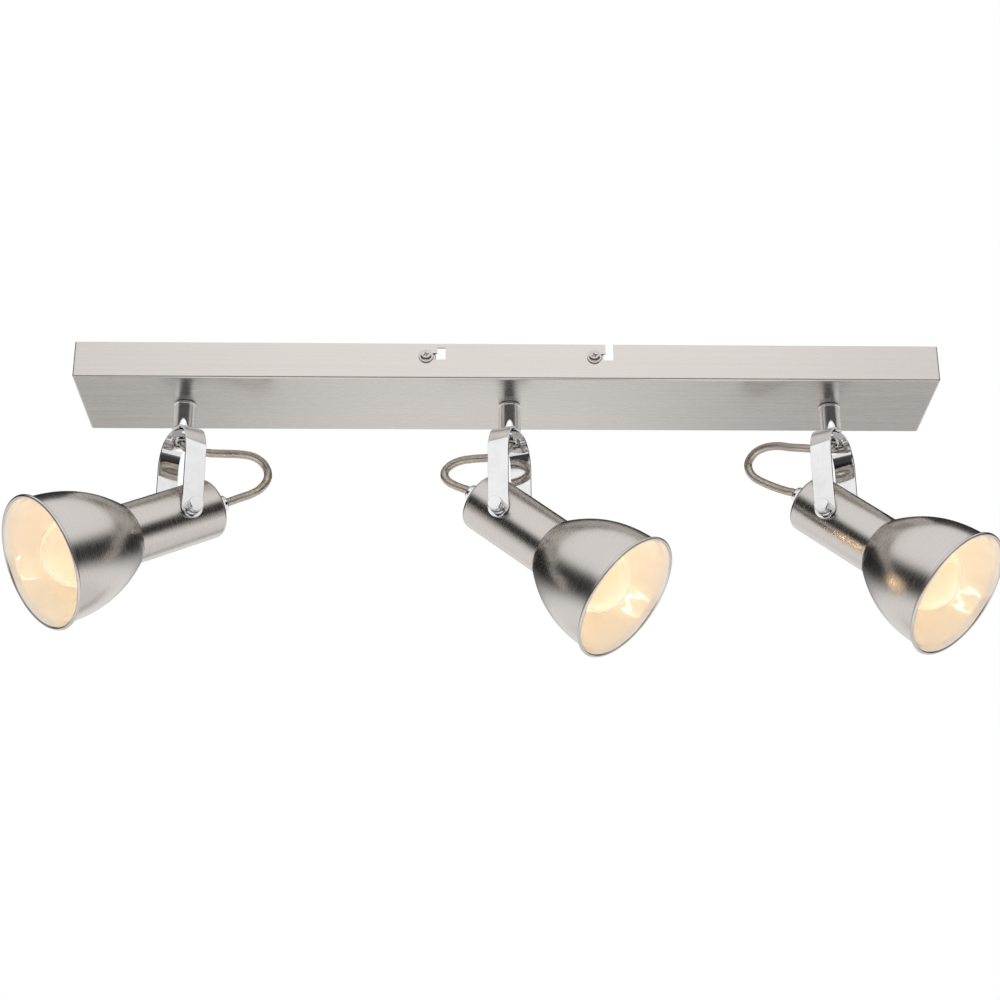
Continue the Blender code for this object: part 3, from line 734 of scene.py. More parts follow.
def new_tree(name, inputs):
    """A geometry node group with named inputs, its own material input and a geometry in and out."""
    tree = bpy.data.node_groups.new(name, "GeometryNodeTree")
    for way in ("OUTPUT", "INPUT"):
        tree.interface.new_socket("Geometry", in_out=way, socket_type="NodeSocketGeometry")
    for label, default in inputs:
        kind = "NodeSocketInt" if isinstance(default, int) else "NodeSocketFloat"
        socket = tree.interface.new_socket(label, in_out="INPUT", socket_type=kind)
        socket.default_value = default
    tree.interface.new_socket("Material", in_out="INPUT", socket_type="NodeSocketMaterial")
    return tree


def add_node(tree, kind, values=None, **settings):
    """Add a node with its settings and the values of its inputs."""
    node = tree.nodes.new(kind)
    for key, value in settings.items():
        setattr(node, key, value)
    for key, value in (values or {}).items():
        node.inputs[key].default_value = value
    return node


def link_rows(tree, *rows):
    """Link sockets given as (node, output, node, input) rows."""
    for start, output, end, entry in rows:
        tree.links.new(start.outputs[output], end.inputs[entry])


def close_tree(tree, source, made, kept=True):
    """Make a node's geometry real, paint it and give it out, with what came in if that is kept."""
    painted = add_node(tree, "GeometryNodeSetMaterial")
    real = add_node(tree, "GeometryNodeRealizeInstances")
    both = add_node(tree, "GeometryNodeJoinGeometry")
    output = add_node(tree, "NodeGroupOutput")
    link_rows(tree, (made, 0, real, 0), (real, 0, painted, "Geometry"),
              (source, "Material", painted, "Material"), (painted, 0, both, 0), (both, 0, output, 0))
    if kept:
        link_rows(tree, (source, "Geometry", both, 0))
    return tree


def ribs_tree():
    """Fine ribs set round a turned piece, each a narrow rounded bar along its axis."""
    name = "Ribs Round A Piece"
    if name in bpy.data.node_groups:
        return bpy.data.node_groups[name]
    tree = new_tree(name, (("Count", 30), ("Radius", 0.005), ("Rib Width", 0.0005),
                           ("Rib Length", 0.005), ("Middle Height", 0.0)))
    source = add_node(tree, "NodeGroupInput")
    circle = add_node(tree, "GeometryNodeCurvePrimitiveCircle", mode="RADIUS")
    points = add_node(tree, "GeometryNodeCurveToPoints", mode="EVALUATED")
    shift = add_node(tree, "GeometryNodeTransform")
    lift = add_node(tree, "ShaderNodeCombineXYZ")
    bar = add_node(tree, "GeometryNodeMeshCylinder", {"Vertices": 8}, fill_type="NGON")
    half = add_node(tree, "ShaderNodeMath", {1: 0.5}, operation="MULTIPLY")
    copies = add_node(tree, "GeometryNodeInstanceOnPoints")
    link_rows(tree, (source, "Count", circle, "Resolution"), (source, "Radius", circle, "Radius"),
              (source, "Middle Height", lift, "Z"), (circle, 0, shift, "Geometry"),
              (lift, 0, shift, "Translation"), (shift, 0, points, 0),
              (source, "Rib Width", half, 0), (half, 0, bar, "Radius"),
              (source, "Rib Length", bar, "Depth"), (points, 0, copies, "Points"),
              (bar, 0, copies, "Instance"))
    return close_tree(tree, source, copies)


def thread_tree():
    """A round-crested screw thread wound along +Z."""
    name = "Screw Thread"
    if name in bpy.data.node_groups:
        return bpy.data.node_groups[name]
    tree = new_tree(name, (("Turns", 6.0), ("Radius", 0.0066), ("Length", 0.015),
                           ("Crest Width", 0.0016), ("Start Height", 0.0)))
    source = add_node(tree, "NodeGroupInput")
    spiral = add_node(tree, "GeometryNodeCurveSpiral", {"Resolution": 36})
    profile = add_node(tree, "GeometryNodeCurvePrimitiveCircle", {"Resolution": 10}, mode="RADIUS")
    half = add_node(tree, "ShaderNodeMath", {1: 0.5}, operation="MULTIPLY")
    sweep = add_node(tree, "GeometryNodeCurveToMesh", {"Fill Caps": True})
    lift = add_node(tree, "ShaderNodeCombineXYZ")
    shift = add_node(tree, "GeometryNodeTransform")
    link_rows(tree, (source, "Turns", spiral, "Rotations"), (source, "Radius", spiral, "Start Radius"),
              (source, "Radius", spiral, "End Radius"), (source, "Length", spiral, "Height"),
              (source, "Crest Width", half, 0), (half, 0, profile, "Radius"),
              (spiral, 0, sweep, "Curve"), (profile, 0, sweep, "Profile Curve"),
              (source, "Start Height", lift, "Z"), (sweep, 0, shift, "Geometry"),
              (lift, 0, shift, "Translation"))
    return close_tree(tree, source, shift)


def braid_tree():
    """Wires braided round the incoming curve: half wind each way, passing over and under by turns."""
    name = "Braided Sleeve"
    if name in bpy.data.node_groups:
        return bpy.data.node_groups[name]
    tree = new_tree(name, (("Wires Each Way", 20), ("Radius", 0.0026), ("Twist Per Metre", 370.0),
                           ("Wire Radius", 0.0001), ("Weave", 0.00006)))
    source = add_node(tree, "NodeGroupInput")
    count, radius, turns, weave = (source.outputs[key] for key in (
        "Wires Each Way", "Radius", "Twist Per Metre", "Weave"))

    def maths(operation, first, second=0.0):
        node = add_node(tree, "ShaderNodeMath", operation=operation)
        for slot, value in ((0, first), (1, second)):
            if isinstance(value, bpy.types.NodeSocket):
                tree.links.new(value, node.inputs[slot])
            else:
                node.inputs[slot].default_value = value
        return node.outputs[0]

    def vector_maths(operation, first, second):
        node = add_node(tree, "ShaderNodeVectorMath", operation=operation)
        tree.links.new(first, node.inputs[0])
        tree.links.new(second, node.inputs["Scale" if operation == "SCALE" else 1])
        return node.outputs[0]

    copies = add_node(tree, "GeometryNodeDuplicateElements", domain="SPLINE")
    tree.links.new(maths("MULTIPLY", count, 2.0), copies.inputs["Amount"])
    label = {"Name": "wire_number"}
    store = add_node(tree, "GeometryNodeStoreNamedAttribute", label, data_type="FLOAT", domain="CURVE")
    number = add_node(tree, "GeometryNodeInputNamedAttribute", label, data_type="FLOAT")
    wire_number = number.outputs[0]
    hand = maths("SUBTRACT", 1.0, maths("MULTIPLY", maths("MODULO", wire_number, 2.0), 2.0))
    phase = maths("DIVIDE", maths("MULTIPLY", maths("FLOOR", maths("DIVIDE", wire_number, 2.0)),
                                  2 * math.pi), count)
    length = add_node(tree, "GeometryNodeSplineParameter").outputs["Length"]
    twist = maths("MULTIPLY", length, turns)
    angle = maths("ADD", phase, maths("MULTIPLY", twist, hand))
    wave = maths("COSINE", maths("MULTIPLY", twist, count))
    reach = maths("ADD", radius, maths("MULTIPLY", maths("MULTIPLY", wave, hand), weave))
    normal = add_node(tree, "GeometryNodeInputNormal").outputs[0]
    tangent = add_node(tree, "GeometryNodeInputTangent").outputs[0]
    side = vector_maths("CROSS_PRODUCT", tangent, normal)
    offset = vector_maths(
        "ADD", vector_maths("SCALE", normal, maths("MULTIPLY", reach, maths("COSINE", angle))),
        vector_maths("SCALE", side, maths("MULTIPLY", reach, maths("SINE", angle))))
    shift = add_node(tree, "GeometryNodeSetPosition")
    tree.links.new(offset, shift.inputs["Offset"])
    profile = add_node(tree, "GeometryNodeCurvePrimitiveCircle", {"Resolution": 4}, mode="RADIUS")
    sweep = add_node(tree, "GeometryNodeCurveToMesh", {"Fill Caps": True})
    link_rows(tree, (source, "Geometry", copies, "Geometry"), (copies, 0, store, "Geometry"),
              (copies, "Duplicate Index", store, "Value"), (store, 0, shift, "Geometry"),
              (source, "Wire Radius", profile, "Radius"), (shift, 0, sweep, "Curve"),
              (profile, 0, sweep, "Profile Curve"))
    return close_tree(tree, source, sweep, kept=False)


def grown(name, data, tree, values):
    """A mesh or curve after a geometry node group with its inputs set by name."""
    thing = helper(name, data)
    modifier = thing.modifiers.new("Nodes", "NODES")
    modifier.node_group = tree
    for item in tree.interface.items_tree:
        if item.item_type == "SOCKET" and item.in_out == "INPUT" and item.name in values:
            modifier[item.identifier] = values[item.name]
    return settled(thing, name, weld=0.0)


# ---- the pieces' shapes

def cross_head_screw(name, flange_radius, head_radius, height, shank_radius, shank_length):
    """A flanged screw with a cross recess, standing on z = 0 with its shank below."""
    flange = 0.0008
    corners = [(0.0, height, 0.0), (head_radius * 0.62, height * 0.93, 0.0006),
               (head_radius, height * 0.55, 0.0006), (head_radius, flange + 0.0001, 0.0002),
               (flange_radius, flange - 0.0001, 0.00025), (flange_radius, 0.0, 0.0001),
               (shank_radius, 0.0, 0.0), (shank_radius, -shank_length, 0.0003),
               (0.0, -shank_length - 0.0006, 0.0)]
    base = lathe(name, corners, 4, 64)
    reach = head_radius * 0.55
    slots = []
    for turn in (0.0, 90.0):
        slot = block("recess", (2 * reach, 0.00085, 0.0034), (0.0, 0.0, height + 0.0003), 0.0001)
        slots.append(moved(slot, Matrix.Rotation(math.radians(turn + 18.0), 4, "Z")))
    centre = turned("recess_cone", [(0.0, height + 0.001), (0.0013, height + 0.001),
                                    (0.0011, height - 0.0006), (0.0, height - 0.0021)], 24)
    return cut(name, base, slots + [centre])


def hex_nut(name, across_flats, thickness, hole):
    """A chamfered nut hanging from z = 0, its flats facing +Y and -Y."""
    corner = across_flats / 2 / math.cos(math.pi / 6)
    body = plate(name, [arc((0.0, 0.0), corner, 0, 300, 5)], thickness, 0.00012)
    shifted(body, (0.0, 0.0, -thickness / 2))
    chamfer = turned("nut_chamfer", [(0.0, 0.0), (corner * 0.90, 0.0), (corner * 1.02, -0.0007),
                                     (corner * 1.02, -thickness + 0.0007),
                                     (corner * 0.90, -thickness), (0.0, -thickness)], 72)
    body = cut(name, body, [chamfer], "INTERSECT")
    return cut(name, body, [pin("nut_bore", hole, 0.001, -thickness - 0.001, 48)])


def strap_point(run, across, depth):
    """Where a point of the flat strap goes once it is bent: run is measured from the crown's middle."""
    sign = 1.0 if run >= 0 else -1.0
    run = abs(run)
    side = YOKE_HALF_WIDTH - CROWN_FLAT
    if run <= CROWN_FLAT:
        return Vector((across, sign * run, PIVOT_DROP - depth))
    left = run - CROWN_FLAT
    if left >= BEND_RUN[-1]:
        return Vector((across, sign * (YOKE_HALF_WIDTH - depth),
                       PIVOT_DROP - YOKE_ARCH - (left - BEND_RUN[-1])))
    step = next(i for i, value in enumerate(BEND_RUN) if value > left) - 1
    part = (left - BEND_RUN[step]) / (BEND_RUN[step + 1] - BEND_RUN[step])
    angle = math.pi / 2 * (step + part) / (len(BEND_RUN) - 1)
    y = CROWN_FLAT + side * math.sin(angle)
    z = PIVOT_DROP - YOKE_ARCH + YOKE_ARCH * math.cos(angle)
    normal = Vector((math.sin(angle) / side, math.cos(angle) / YOKE_ARCH)).normalized()
    return Vector((across, sign * (y - normal.x * depth), z - normal.y * depth))


def bend_runs(steps=90):
    """Length along the strap's bend from the crown, at equal angles."""
    side = YOKE_HALF_WIDTH - CROWN_FLAT
    runs = [0.0]
    for step in range(steps):
        a, b = math.pi / 2 * step / steps, math.pi / 2 * (step + 1) / steps
        runs.append(runs[-1] + math.hypot(side * (math.sin(b) - math.sin(a)),
                                          YOKE_ARCH * (math.cos(b) - math.cos(a))))
    return runs


BEND_RUN = bend_runs()


def yoke_strap(name):
    """The flat strip with rounded ends and three holes, bent to its arch."""
    half = YOKE_WIDTH / 2
    leg = CROWN_FLAT + BEND_RUN[-1] + PIVOT_DROP - YOKE_ARCH
    outline = arc((leg, 0.0), half, -90, 90, 24) + arc((-leg, 0.0), half, 90, 270, 24)
    holes = [arc((place, 0.0), radius, 350, 0, 35)
             for place, radius in ((leg, 0.00225), (-leg, 0.00225), (0.0, THREAD_HOLE))]
    mesh = plate(name, [outline] + holes, YOKE_SHEET, 0.00022)
    shell = bmesh.new()
    shell.from_mesh(mesh)
    bend_end = CROWN_FLAT + BEND_RUN[-1]
    cuts = [CROWN_FLAT + BEND_RUN[-1] * step / 26 for step in range(27)]
    for place in [-c for c in cuts] + cuts + [-bend_end - 0.001, bend_end + 0.001]:
        geometry = shell.verts[:] + shell.edges[:] + shell.faces[:]
        bmesh.ops.bisect_plane(shell, geom=geometry, dist=1e-7, plane_co=(place, 0.0, 0.0),
                               plane_no=(1.0, 0.0, 0.0))
    for vert in shell.verts:
        vert.co = strap_point(vert.co.x, vert.co.y, YOKE_SHEET / 2 - vert.co.z)
    bmesh.ops.recalc_face_normals(shell, faces=shell.faces)
    return smooth(poured(shell, mesh))


def bell_profile(count):
    """The bell's outer side from neck to mouth."""
    parts = [(step / count) ** 1.3 for step in range(count + 1)]
    return [(NECK_RADIUS + (MOUTH_RADIUS - NECK_RADIUS) * (1 - (1 - part) ** 2.4),
             SHADE_START + SHADE_LENGTH * part) for part in parts]


def shifted_inwards(points, distance):
    """A line of points moved sideways by a distance, to the left of its run."""
    result = []
    for i, (x, y) in enumerate(points):
        before, after = points[max(i - 1, 0)], points[min(i + 1, len(points) - 1)]
        run = (Vector(after) - Vector(before)).normalized()
        result.append((x - run.y * distance, y + run.x * distance))
    return result


def shade_bell(name):
    """The spun bell with its clamped base and rolled rim, nickel outside and enamel inside."""
    wall = 0.0008
    hole = 0.0147
    outer = bell_profile(40)
    inner = [point for point in shifted_inwards(outer, wall) if point[1] > SHADE_START + 2.2 * wall]
    centre = (LIP_RADIUS - LIP_BEAD, SHADE_START + SHADE_LENGTH + 0.0023)
    bead = arc(centre, LIP_BEAD, -55, 165, 16)
    base_outer = softened([(hole, SHADE_START, 0.0), (NECK_RADIUS, SHADE_START, 0.0011),
                           (outer[3][0], outer[3][1], 0.0)], 5)[1:-1]
    outside = [(hole, SHADE_START)] + base_outer + outer[3:] + bead
    base_inner = [(NECK_RADIUS - 0.0011, SHADE_START + 1.2 * wall), (hole, SHADE_START + wall)]
    inside = inner[::-1] + base_inner
    ring = (outside + inside)[::-1]
    mesh = turned(name, ring, BELL_STEPS)
    flags = [int(i < len(inside)) for i in range(len(ring)) for _ in range(BELL_STEPS)]
    mesh.polygons.foreach_set("material_index", flags)
    return mesh


def casing_tube(name):
    """The lamp's tube, its rear end closed but for the gland's hole."""
    wall = 0.0009
    front = SHADE_START - 0.0003
    corners = [(CASING_RADIUS, front, 0.0002), (CASING_RADIUS, CASING_REAR, 0.0026),
               (THREAD_HOLE, CASING_REAR, 0.0), (THREAD_HOLE, CASING_REAR + wall, 0.0),
               (CASING_RADIUS - wall, CASING_REAR + wall, 0.0018), (CASING_RADIUS - wall, front, 0.0)]
    return lathe(name, corners, 6, 128)


def gland_parts():
    """The hexagon gland with its flange and round cap, and the rubber bush where the cable goes in."""
    def washer(name, corners, rounding, steps):
        return lathe(name, [(radius, GLAND_BACK + rise, bend) for radius, rise, bend in corners],
                     rounding, steps)

    flange = washer("gland_flange", (
        (0.0049, 0.0, 0.0), (0.0049, 0.0050, 0.0), (GLAND_BORE, 0.0050, 0.0),
        (GLAND_BORE, -0.0011, 0.0), (0.0067, -0.0011, 0.0003), (0.0067, 0.0, 0.0002)), 3, 48)
    hexa = shifted(hex_nut("gland_hexagon", 0.0113, 0.0072, GLAND_BORE),
                   (0.0, 0.0, GLAND_BACK - 0.0012))
    cap = washer("gland_cap", (
        (GLAND_BORE, -0.0084, 0.0), (GLAND_BORE, -0.0118, 0.0), (0.0042, -0.0118, 0.0004),
        (0.0054, -0.0108, 0.0008), (0.0054, -0.0084, 0.0)), 4, 48)
    bush = washer("gland_bush", (
        (0.0029, -0.0060, 0.0), (0.0029, -0.0119, 0.0), (0.0037, -0.0119, 0.0003),
        (0.0037, -0.0060, 0.0)), 3, 40)
    return [(mesh, [finish("chrome")]) for mesh in (flange, hexa, cap)] + [(bush, [finish("rubber")])]


def knob(name, look):
    """A thumb screw along +Z, its head beyond the yoke's leg and knurled round its side."""
    near = YOKE_HALF_WIDTH + 0.0003
    far = near + 0.0067
    radius = look.knob_radius
    corners = [(0.0, far, 0.0), (radius - 0.0006, far, 0.0002), (radius - 0.0002, far - 0.0006, 0.0002),
               (radius - 0.0002, near + 0.0006, 0.0002), (radius - 0.0008, near, 0.0002),
               (0.00195, near, 0.0), (0.00195, 0.0150, 0.0003), (0.0, 0.0150, 0.0)]
    base = lathe(name, corners, 3, 64)
    base.materials.append(finish("chrome"))
    return grown(name, base, ribs_tree(), {
        "Count": look.knurl_ribs, "Radius": radius - 0.00022, "Rib Width": 0.00052,
        "Rib Length": 0.0048, "Middle Height": (near + far) / 2, "Material": finish("chrome")})


def bulb_glass(name):
    """The golf-ball glass with its drawn neck, open at the cap."""
    wall = 0.0005
    neck = CAP_RADIUS + 0.0002
    foot = CAP_TOP + 0.0003

    def side(ball, throat):
        points = arc((0.0, BULB_CENTRE), ball, 90, -58, 44)
        last = points[-1]
        blend = [(last[0], last[1], 0.0), (throat + 0.0024, foot + 0.0052, 0.004), (throat, foot, 0.0)]
        return points + softened(blend, 8)[1:]

    outer = side(BULB_RADIUS, neck)
    inner = side(BULB_RADIUS - wall, neck - wall)
    return turned(name, outer + inner[::-1])


def bulb_mount(key):
    """The pressed glass mount with its two leading-in wires, supports and coiled filament."""
    foot = CAP_TOP + 0.0003
    stem = lathe("mount_stem", [
        (0.0, 0.0665, 0.0), (0.0013, 0.0662, 0.0004), (0.0011, 0.0600, 0.0005), (0.0026, 0.0575, 0.001),
        (0.0021, 0.0510, 0.001), (0.0048, foot + 0.0012, 0.0008), (0.0048, foot, 0.0),
        (0.0, foot, 0.0)], 5, 32)
    wires = []
    for side in (-1, 1):
        route = [(side * 1.6, 0, 56), (side * 2.2, 0, 62), (side * 5.4, 0.4, 69),
                 (side * 7.2, 0.6, 75.5)]
        wires.append(wire("lead_wire", smooth_route(route, 0.0012), 0.00022, 2))
    ring = []
    for step in range(9):
        angle = math.radians(200 - 220 * step / 8)
        reach = 7.4 if step % 2 == 0 else 6.2
        ring.append((reach * math.cos(angle), reach * math.sin(angle) * 0.9, 75.5 + 1.1 * (step % 2)))
    for spot in (2, 4, 6):
        x, y, z = ring[spot]
        wires.append(wire("support", smooth_route([(0, 0, 66), (x * 0.45, y * 0.45, 69), (x, y, z)],
                                                  0.0015), 0.00013, 1))
    coil = wire("filament", smooth_route(ring, 0.0008), 0.00035, 2)
    parts = [(stem, [finish("mount_glass")])]
    parts += [(mesh, [finish("steel_wire")]) for mesh in wires]
    parts.append((coil, [finish("filament")]))
    return all_moved(parts, head_frame(key))


def bulb_cap(key):
    """The screw cap: threaded shell, black glass insulator and lead contact."""
    shell = lathe("cap_shell", [
        (0.0, CAP_TOP, 0.0), (CAP_RADIUS, CAP_TOP, 0.0003), (CAP_RADIUS, CAP_TOP - 0.0022, 0.0003),
        (CAP_RADIUS - 0.0007, CAP_TOP - 0.0028, 0.0), (CAP_RADIUS - 0.0007, 0.0262, 0.0008),
        (0.0048, 0.0246, 0.0), (0.0, 0.0246, 0.0)], 4, 64)
    shell.materials.append(finish("brass"))
    shell = grown("cap_shell", shell, thread_tree(), {
        "Turns": 5.5, "Radius": CAP_RADIUS - 0.0009, "Length": 0.0148, "Crest Width": 0.0017,
        "Start Height": 0.0262, "Material": finish("brass")})
    insulator = lathe("cap_insulator", [
        (0.0, 0.0250, 0.0), (0.0049, 0.0248, 0.0), (0.0030, 0.0216, 0.0006), (0.0, 0.0214, 0.0)], 4, 40)
    contact = lathe("cap_contact", [
        (0.0, 0.0216, 0.0), (0.0024, 0.0214, 0.0), (0.0021, 0.0203, 0.0005), (0.0, 0.0197, 0.0)], 4, 32)
    parts = [(shell, [finish("brass")]), (insulator, [finish("rubber")]), (contact, [finish("zinc")])]
    return all_moved(parts, head_frame(key))


# ---- properties

def colour(label, description, default):
    """A colour that can be changed."""
    return FloatVectorProperty(name=label, description=description, subtype="COLOR", size=3,
                               default=default)


def amount(label, description, default, low, high, **more):
    """A number that can be changed."""
    return FloatProperty(name=label, description=description, default=default, min=low, max=high,
                         **more)


def tally(label, description, default, low, high):
    """A whole number that can be changed."""
    return IntProperty(name=label, description=description, default=default, min=low, max=high)


class SpotBarLook(bpy.types.PropertyGroup):
    """Sizes and colours that can be changed before building."""
    nickel_colour: colour("Nickel Colour", "Colour of the satin nickel", (0.62, 0.585, 0.555))
    nickel_roughness: amount("Nickel Roughness", "How dull the brushing is", 0.26, 0.05, 1.0,
                             subtype="FACTOR")
    chrome_colour: colour("Chrome Colour", "Colour of the chrome plate", (0.86, 0.86, 0.87))
    enamel_colour: colour("Enamel Colour", "Paint inside the shades", (0.90, 0.86, 0.80))
    # Painted glow: the enamel's emission stands in for the bulb's light falling on the paint.
    enamel_painted_glow: amount("Enamel Painted Glow", "Light that the paint gives back", 0.02, 0.0, 5.0)
    glow_colour: colour("Glow Colour", "Colour of the lamps' light", (1.0, 0.78, 0.52))
    glass_clear: amount("Glass Density", "How much the glass hides", 0.10, 0.0, 1.0,
                        subtype="FACTOR")
    glass_glow: amount("Glass Glow", "Light that the glass spreads", 0.10, 0.0, 5.0)
    filament_colour: colour("Filament Colour", "Colour of the filament", (1.0, 0.72, 0.38))
    filament_glow: amount("Filament Glow", "Brightness of the filament", 58.0, 0.0, 500.0)
    bulb_power: amount("Bulb Power", "Light thrown by each bulb, in watts", 0.012, 0.0, 100.0)
    braid_colour: colour("Braid Colour", "Colour of the cables' braid", (0.66, 0.59, 0.51))
    cable_radius: amount("Cable Radius", "Radius over the braid", 0.00275, 0.001, 0.01,
                         unit="LENGTH")
    braid_wires: tally("Braid Wires", "Wires wound each way", 18, 4, 40)
    knob_radius: amount("Knob Radius", "Radius of the thumb screws' heads", 0.0050, 0.003, 0.01,
                        unit="LENGTH")
    knurl_ribs: tally("Knurl Ribs", "Ribs round each thumb screw", 34, 8, 80)


# ---- operators

class SPOTBAR_OT_canopy(bpy.types.Operator):
    """Build the folded canopy with its bayonet slots and stem holes"""
    bl_idname = "spotbar.canopy"
    bl_label = "Canopy"

    def execute(self, context):
        shell = box_shell((CANOPY_LENGTH, CANOPY_WIDTH, CANOPY_HEIGHT), (0.0, 0.0, -CANOPY_HEIGHT / 2))
        lids = [face for face in shell.faces if face.normal.z > 0.9]
        bmesh.ops.delete(shell, geom=lids, context="FACES_ONLY")
        cover = helper("canopy_cover", poured(shell, bpy.data.meshes.new("canopy_cover")))
        bends = cover.modifiers.new("Bends", "BEVEL")
        bends.width = 0.0016
        bends.segments = 5
        sheet = cover.modifiers.new("Sheet", "SOLIDIFY")
        sheet.thickness = CANOPY_SHEET
        sheet.offset = -1.0
        sheet.use_even_offset = True
        base = settled(cover, "canopy_cover")
        cutters = []
        upright = Matrix.Rotation(math.pi / 2, 4, "X")
        for side in (-1, 1):
            for hand in (-1, 1):
                top = -SCREW_Z + 0.002 if hand > 0 else -SCREW_Z - 0.0030
                outline = arc((0.0, 0.0), 0.0023, 90, 270, 16)
                outline += [(0.0126, -0.0023), (0.0126, top), (0.0074, top), (0.0074, 0.0023)]
                slot = plate("slot", [outline], 0.008)
                turn = Matrix.Translation((hand * SCREW_X, side * CANOPY_WIDTH / 2, SCREW_Z)) @ upright
                cutters.append(moved(slot, turn))
        for key in SPOT_KEYS:
            place = stem_frame(key).translation
            cutters.append(shifted(pin("stem_hole", THREAD_HOLE, 0.01, -0.01, 48),
                                   (place.x, place.y, -CANOPY_HEIGHT)))
        cover = cut("canopy_cover", base, cutters)
        single("canopy_cover", cover, "canopy", "base", "canopy_shell")
        return {"FINISHED"}


class SPOTBAR_OT_fixings(bpy.types.Operator):
    """Build the side screws and dress the bracket, washers and inner nuts"""
    bl_idname = "spotbar.fixings"
    bl_label = "Fixings"

    def execute(self, context):
        for side, letter in ((-1, "f"), (1, "b")):
            for hand, other in ((-1, "l"), (1, "r")):
                screw = cross_head_screw("side_screw", 0.00475, 0.0036, 0.0022, 0.00195, 0.0078)
                turn = Matrix.Rotation(-side * math.pi / 2, 4, "X")
                place = (hand * SCREW_X, side * (CANOPY_WIDTH / 2 + 0.0003), SCREW_Z)
                moved(screw, Matrix.Translation(place) @ turn)
                single(f"cross_screw_{letter}{other}", screw, "screw", "base",
                       f"side_screw_{letter}{other}")
        earth = cross_head_screw("earth", 0.0048, 0.0033, 0.0030, 0.0020, 0.0)
        low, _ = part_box("earth_screw")
        shifted(earth, (-0.100, 0.018, low[2] + 0.0006))
        single("earth_terminal", earth, "brass", "base", "earth_screw")
        repaint(["mounting_bracket"] + [f"stem_{kind}_{key}" for kind in ("washer", "nut")
                                        for key in SPOT_KEYS], finish("zinc"))
        return {"FINISHED"}


class SPOTBAR_OT_wiring(bpy.types.Operator):
    """Build the terminal block and the inner leads"""
    bl_idname = "spotbar.wiring"
    bl_label = "Wiring"

    def execute(self, context):
        base = block("block", (0.034, 0.016, 0.0120), BLOCK_CENTRE, 0.0005, 2)
        cutters = []
        wells = []
        for pole in (-1, 0, 1):
            x = BLOCK_CENTRE.x + pole * POLE_PITCH
            turn = Matrix.Translation((x, BLOCK_CENTRE.y, BLOCK_CENTRE.z))
            cutters.append(moved(pin("wire_hole", 0.0019, 0.02, -0.02, 24),
                                 turn @ Matrix.Rotation(math.pi / 2, 4, "X")))
            for side in (-1, 1):
                wells.append((x, BLOCK_CENTRE.y + side * 0.0042, BLOCK_CENTRE.z))
                cutters.append(shifted(pin("screw_well", 0.0018, 0.01, 0.0030, 20), wells[-1]))
        for gap in (-0.5, 0.5):
            groove = (BLOCK_CENTRE.x + gap * POLE_PITCH, BLOCK_CENTRE.y, BLOCK_CENTRE.z + 0.0050)
            cutters.append(block("groove", (0.0014, 0.03, 0.0060), groove))
        body = cut("block", base, cutters)
        parts = [(body, [finish("nylon")])]
        for place in wells:
            screw = lathe("pole_screw", [
                (0.0, 0.0046, 0.0), (0.0015, 0.0044, 0.0003), (0.0015, 0.0024, 0.0),
                (0.0, 0.0024, 0.0)], 3, 24)
            screw = cut("pole_screw", screw, [block("slot", (0.004, 0.0005, 0.0012),
                                                    (0.0, 0.0, 0.0048))])
            parts.append((shifted(screw, place), [finish("brass")]))
        piece("connector_block", parts, "base", ["terminal_block"])
        for key in SPOT_KEYS:
            points = smooth_route(LEAD_ROUTES[key], 0.003)
            sleeve = wire("inner_lead", points, LEAD_RADIUS, 4)
            lead = single(f"inner_lead_{key}", sleeve, "sleeve", "base", f"lead_{key}")
            run_length(points)
        return {"FINISHED"}


class SPOTBAR_OT_stems(bpy.types.Operator):
    """Build the stems and the nuts under the yokes"""
    bl_idname = "spotbar.stems"
    bl_label = "Stems"

    def execute(self, context):
        end = STEM_TOP - STEM_LENGTH
        for key in SPOT_KEYS:
            corners = [(0.0037, STEM_TOP + 0.0091, 0.0), (0.0049, STEM_TOP + 0.0091, 0.0003),
                       (0.0049, STEM_TOP, 0.0), (0.0066, STEM_TOP, 0.0003),
                       (STEM_RADIUS, STEM_TOP - 0.0006, 0.0003),
                       (STEM_RADIUS, STEM_TOP - 0.0017, 0.0002),
                       (STEM_RADIUS - 0.0003, STEM_TOP - 0.0019, 0.0001),
                       (STEM_RADIUS - 0.0003, STEM_TOP - 0.0022, 0.0001),
                       (STEM_RADIUS, STEM_TOP - 0.0024, 0.0002),
                       (STEM_RADIUS, end, 0.0014), (0.0049, end, 0.0),
                       (0.0049, end - 0.0087, 0.0004), (0.0037, end - 0.0087, 0.0002)]
            stem = moved(lathe("stem", corners, 5, 96), stem_frame(key))
            single(f"round_stem_{key}", stem, "chrome", "base", f"stem_{key}")
            nut = hex_nut("nut", 0.0140, 0.0050, 0.0052)
            turn = pan_frame(key).to_3x3().to_4x4()
            place = stem_frame(key) @ Matrix.Translation((0.0, 0.0, CROWN_TOP - YOKE_SHEET - 0.0004))
            moved(nut, place @ turn)
            single(f"hexagon_nut_{key}", nut, "chrome", "base", f"yoke_nut_{key}")
        return {"FINISHED"}


class SPOTBAR_OT_yokes(bpy.types.Operator):
    """Build the bent yokes and the knurled thumb screws"""
    bl_idname = "spotbar.yokes"
    bl_label = "Yokes"

    def execute(self, context):
        look = context.scene.spot_bar_look
        for key in SPOT_KEYS:
            strap = moved(yoke_strap("strap"), pan_frame(key))
            single(f"yoke_strap_{key}", strap, "chrome", f"yoke_body_{key}", f"yoke_{key}")
            for turn, side in zip((1, -1), KNOB_SIDES[key]):
                place = pan_frame(key) @ Matrix.Rotation(-turn * math.pi / 2, 4, "X")
                single(f"thumb_knob_{key}_{side}", moved(knob("knob", look), place), "chrome",
                       f"knob_{key}_{side}", f"thumb_screw_{key}_{side}")
        return {"FINISHED"}


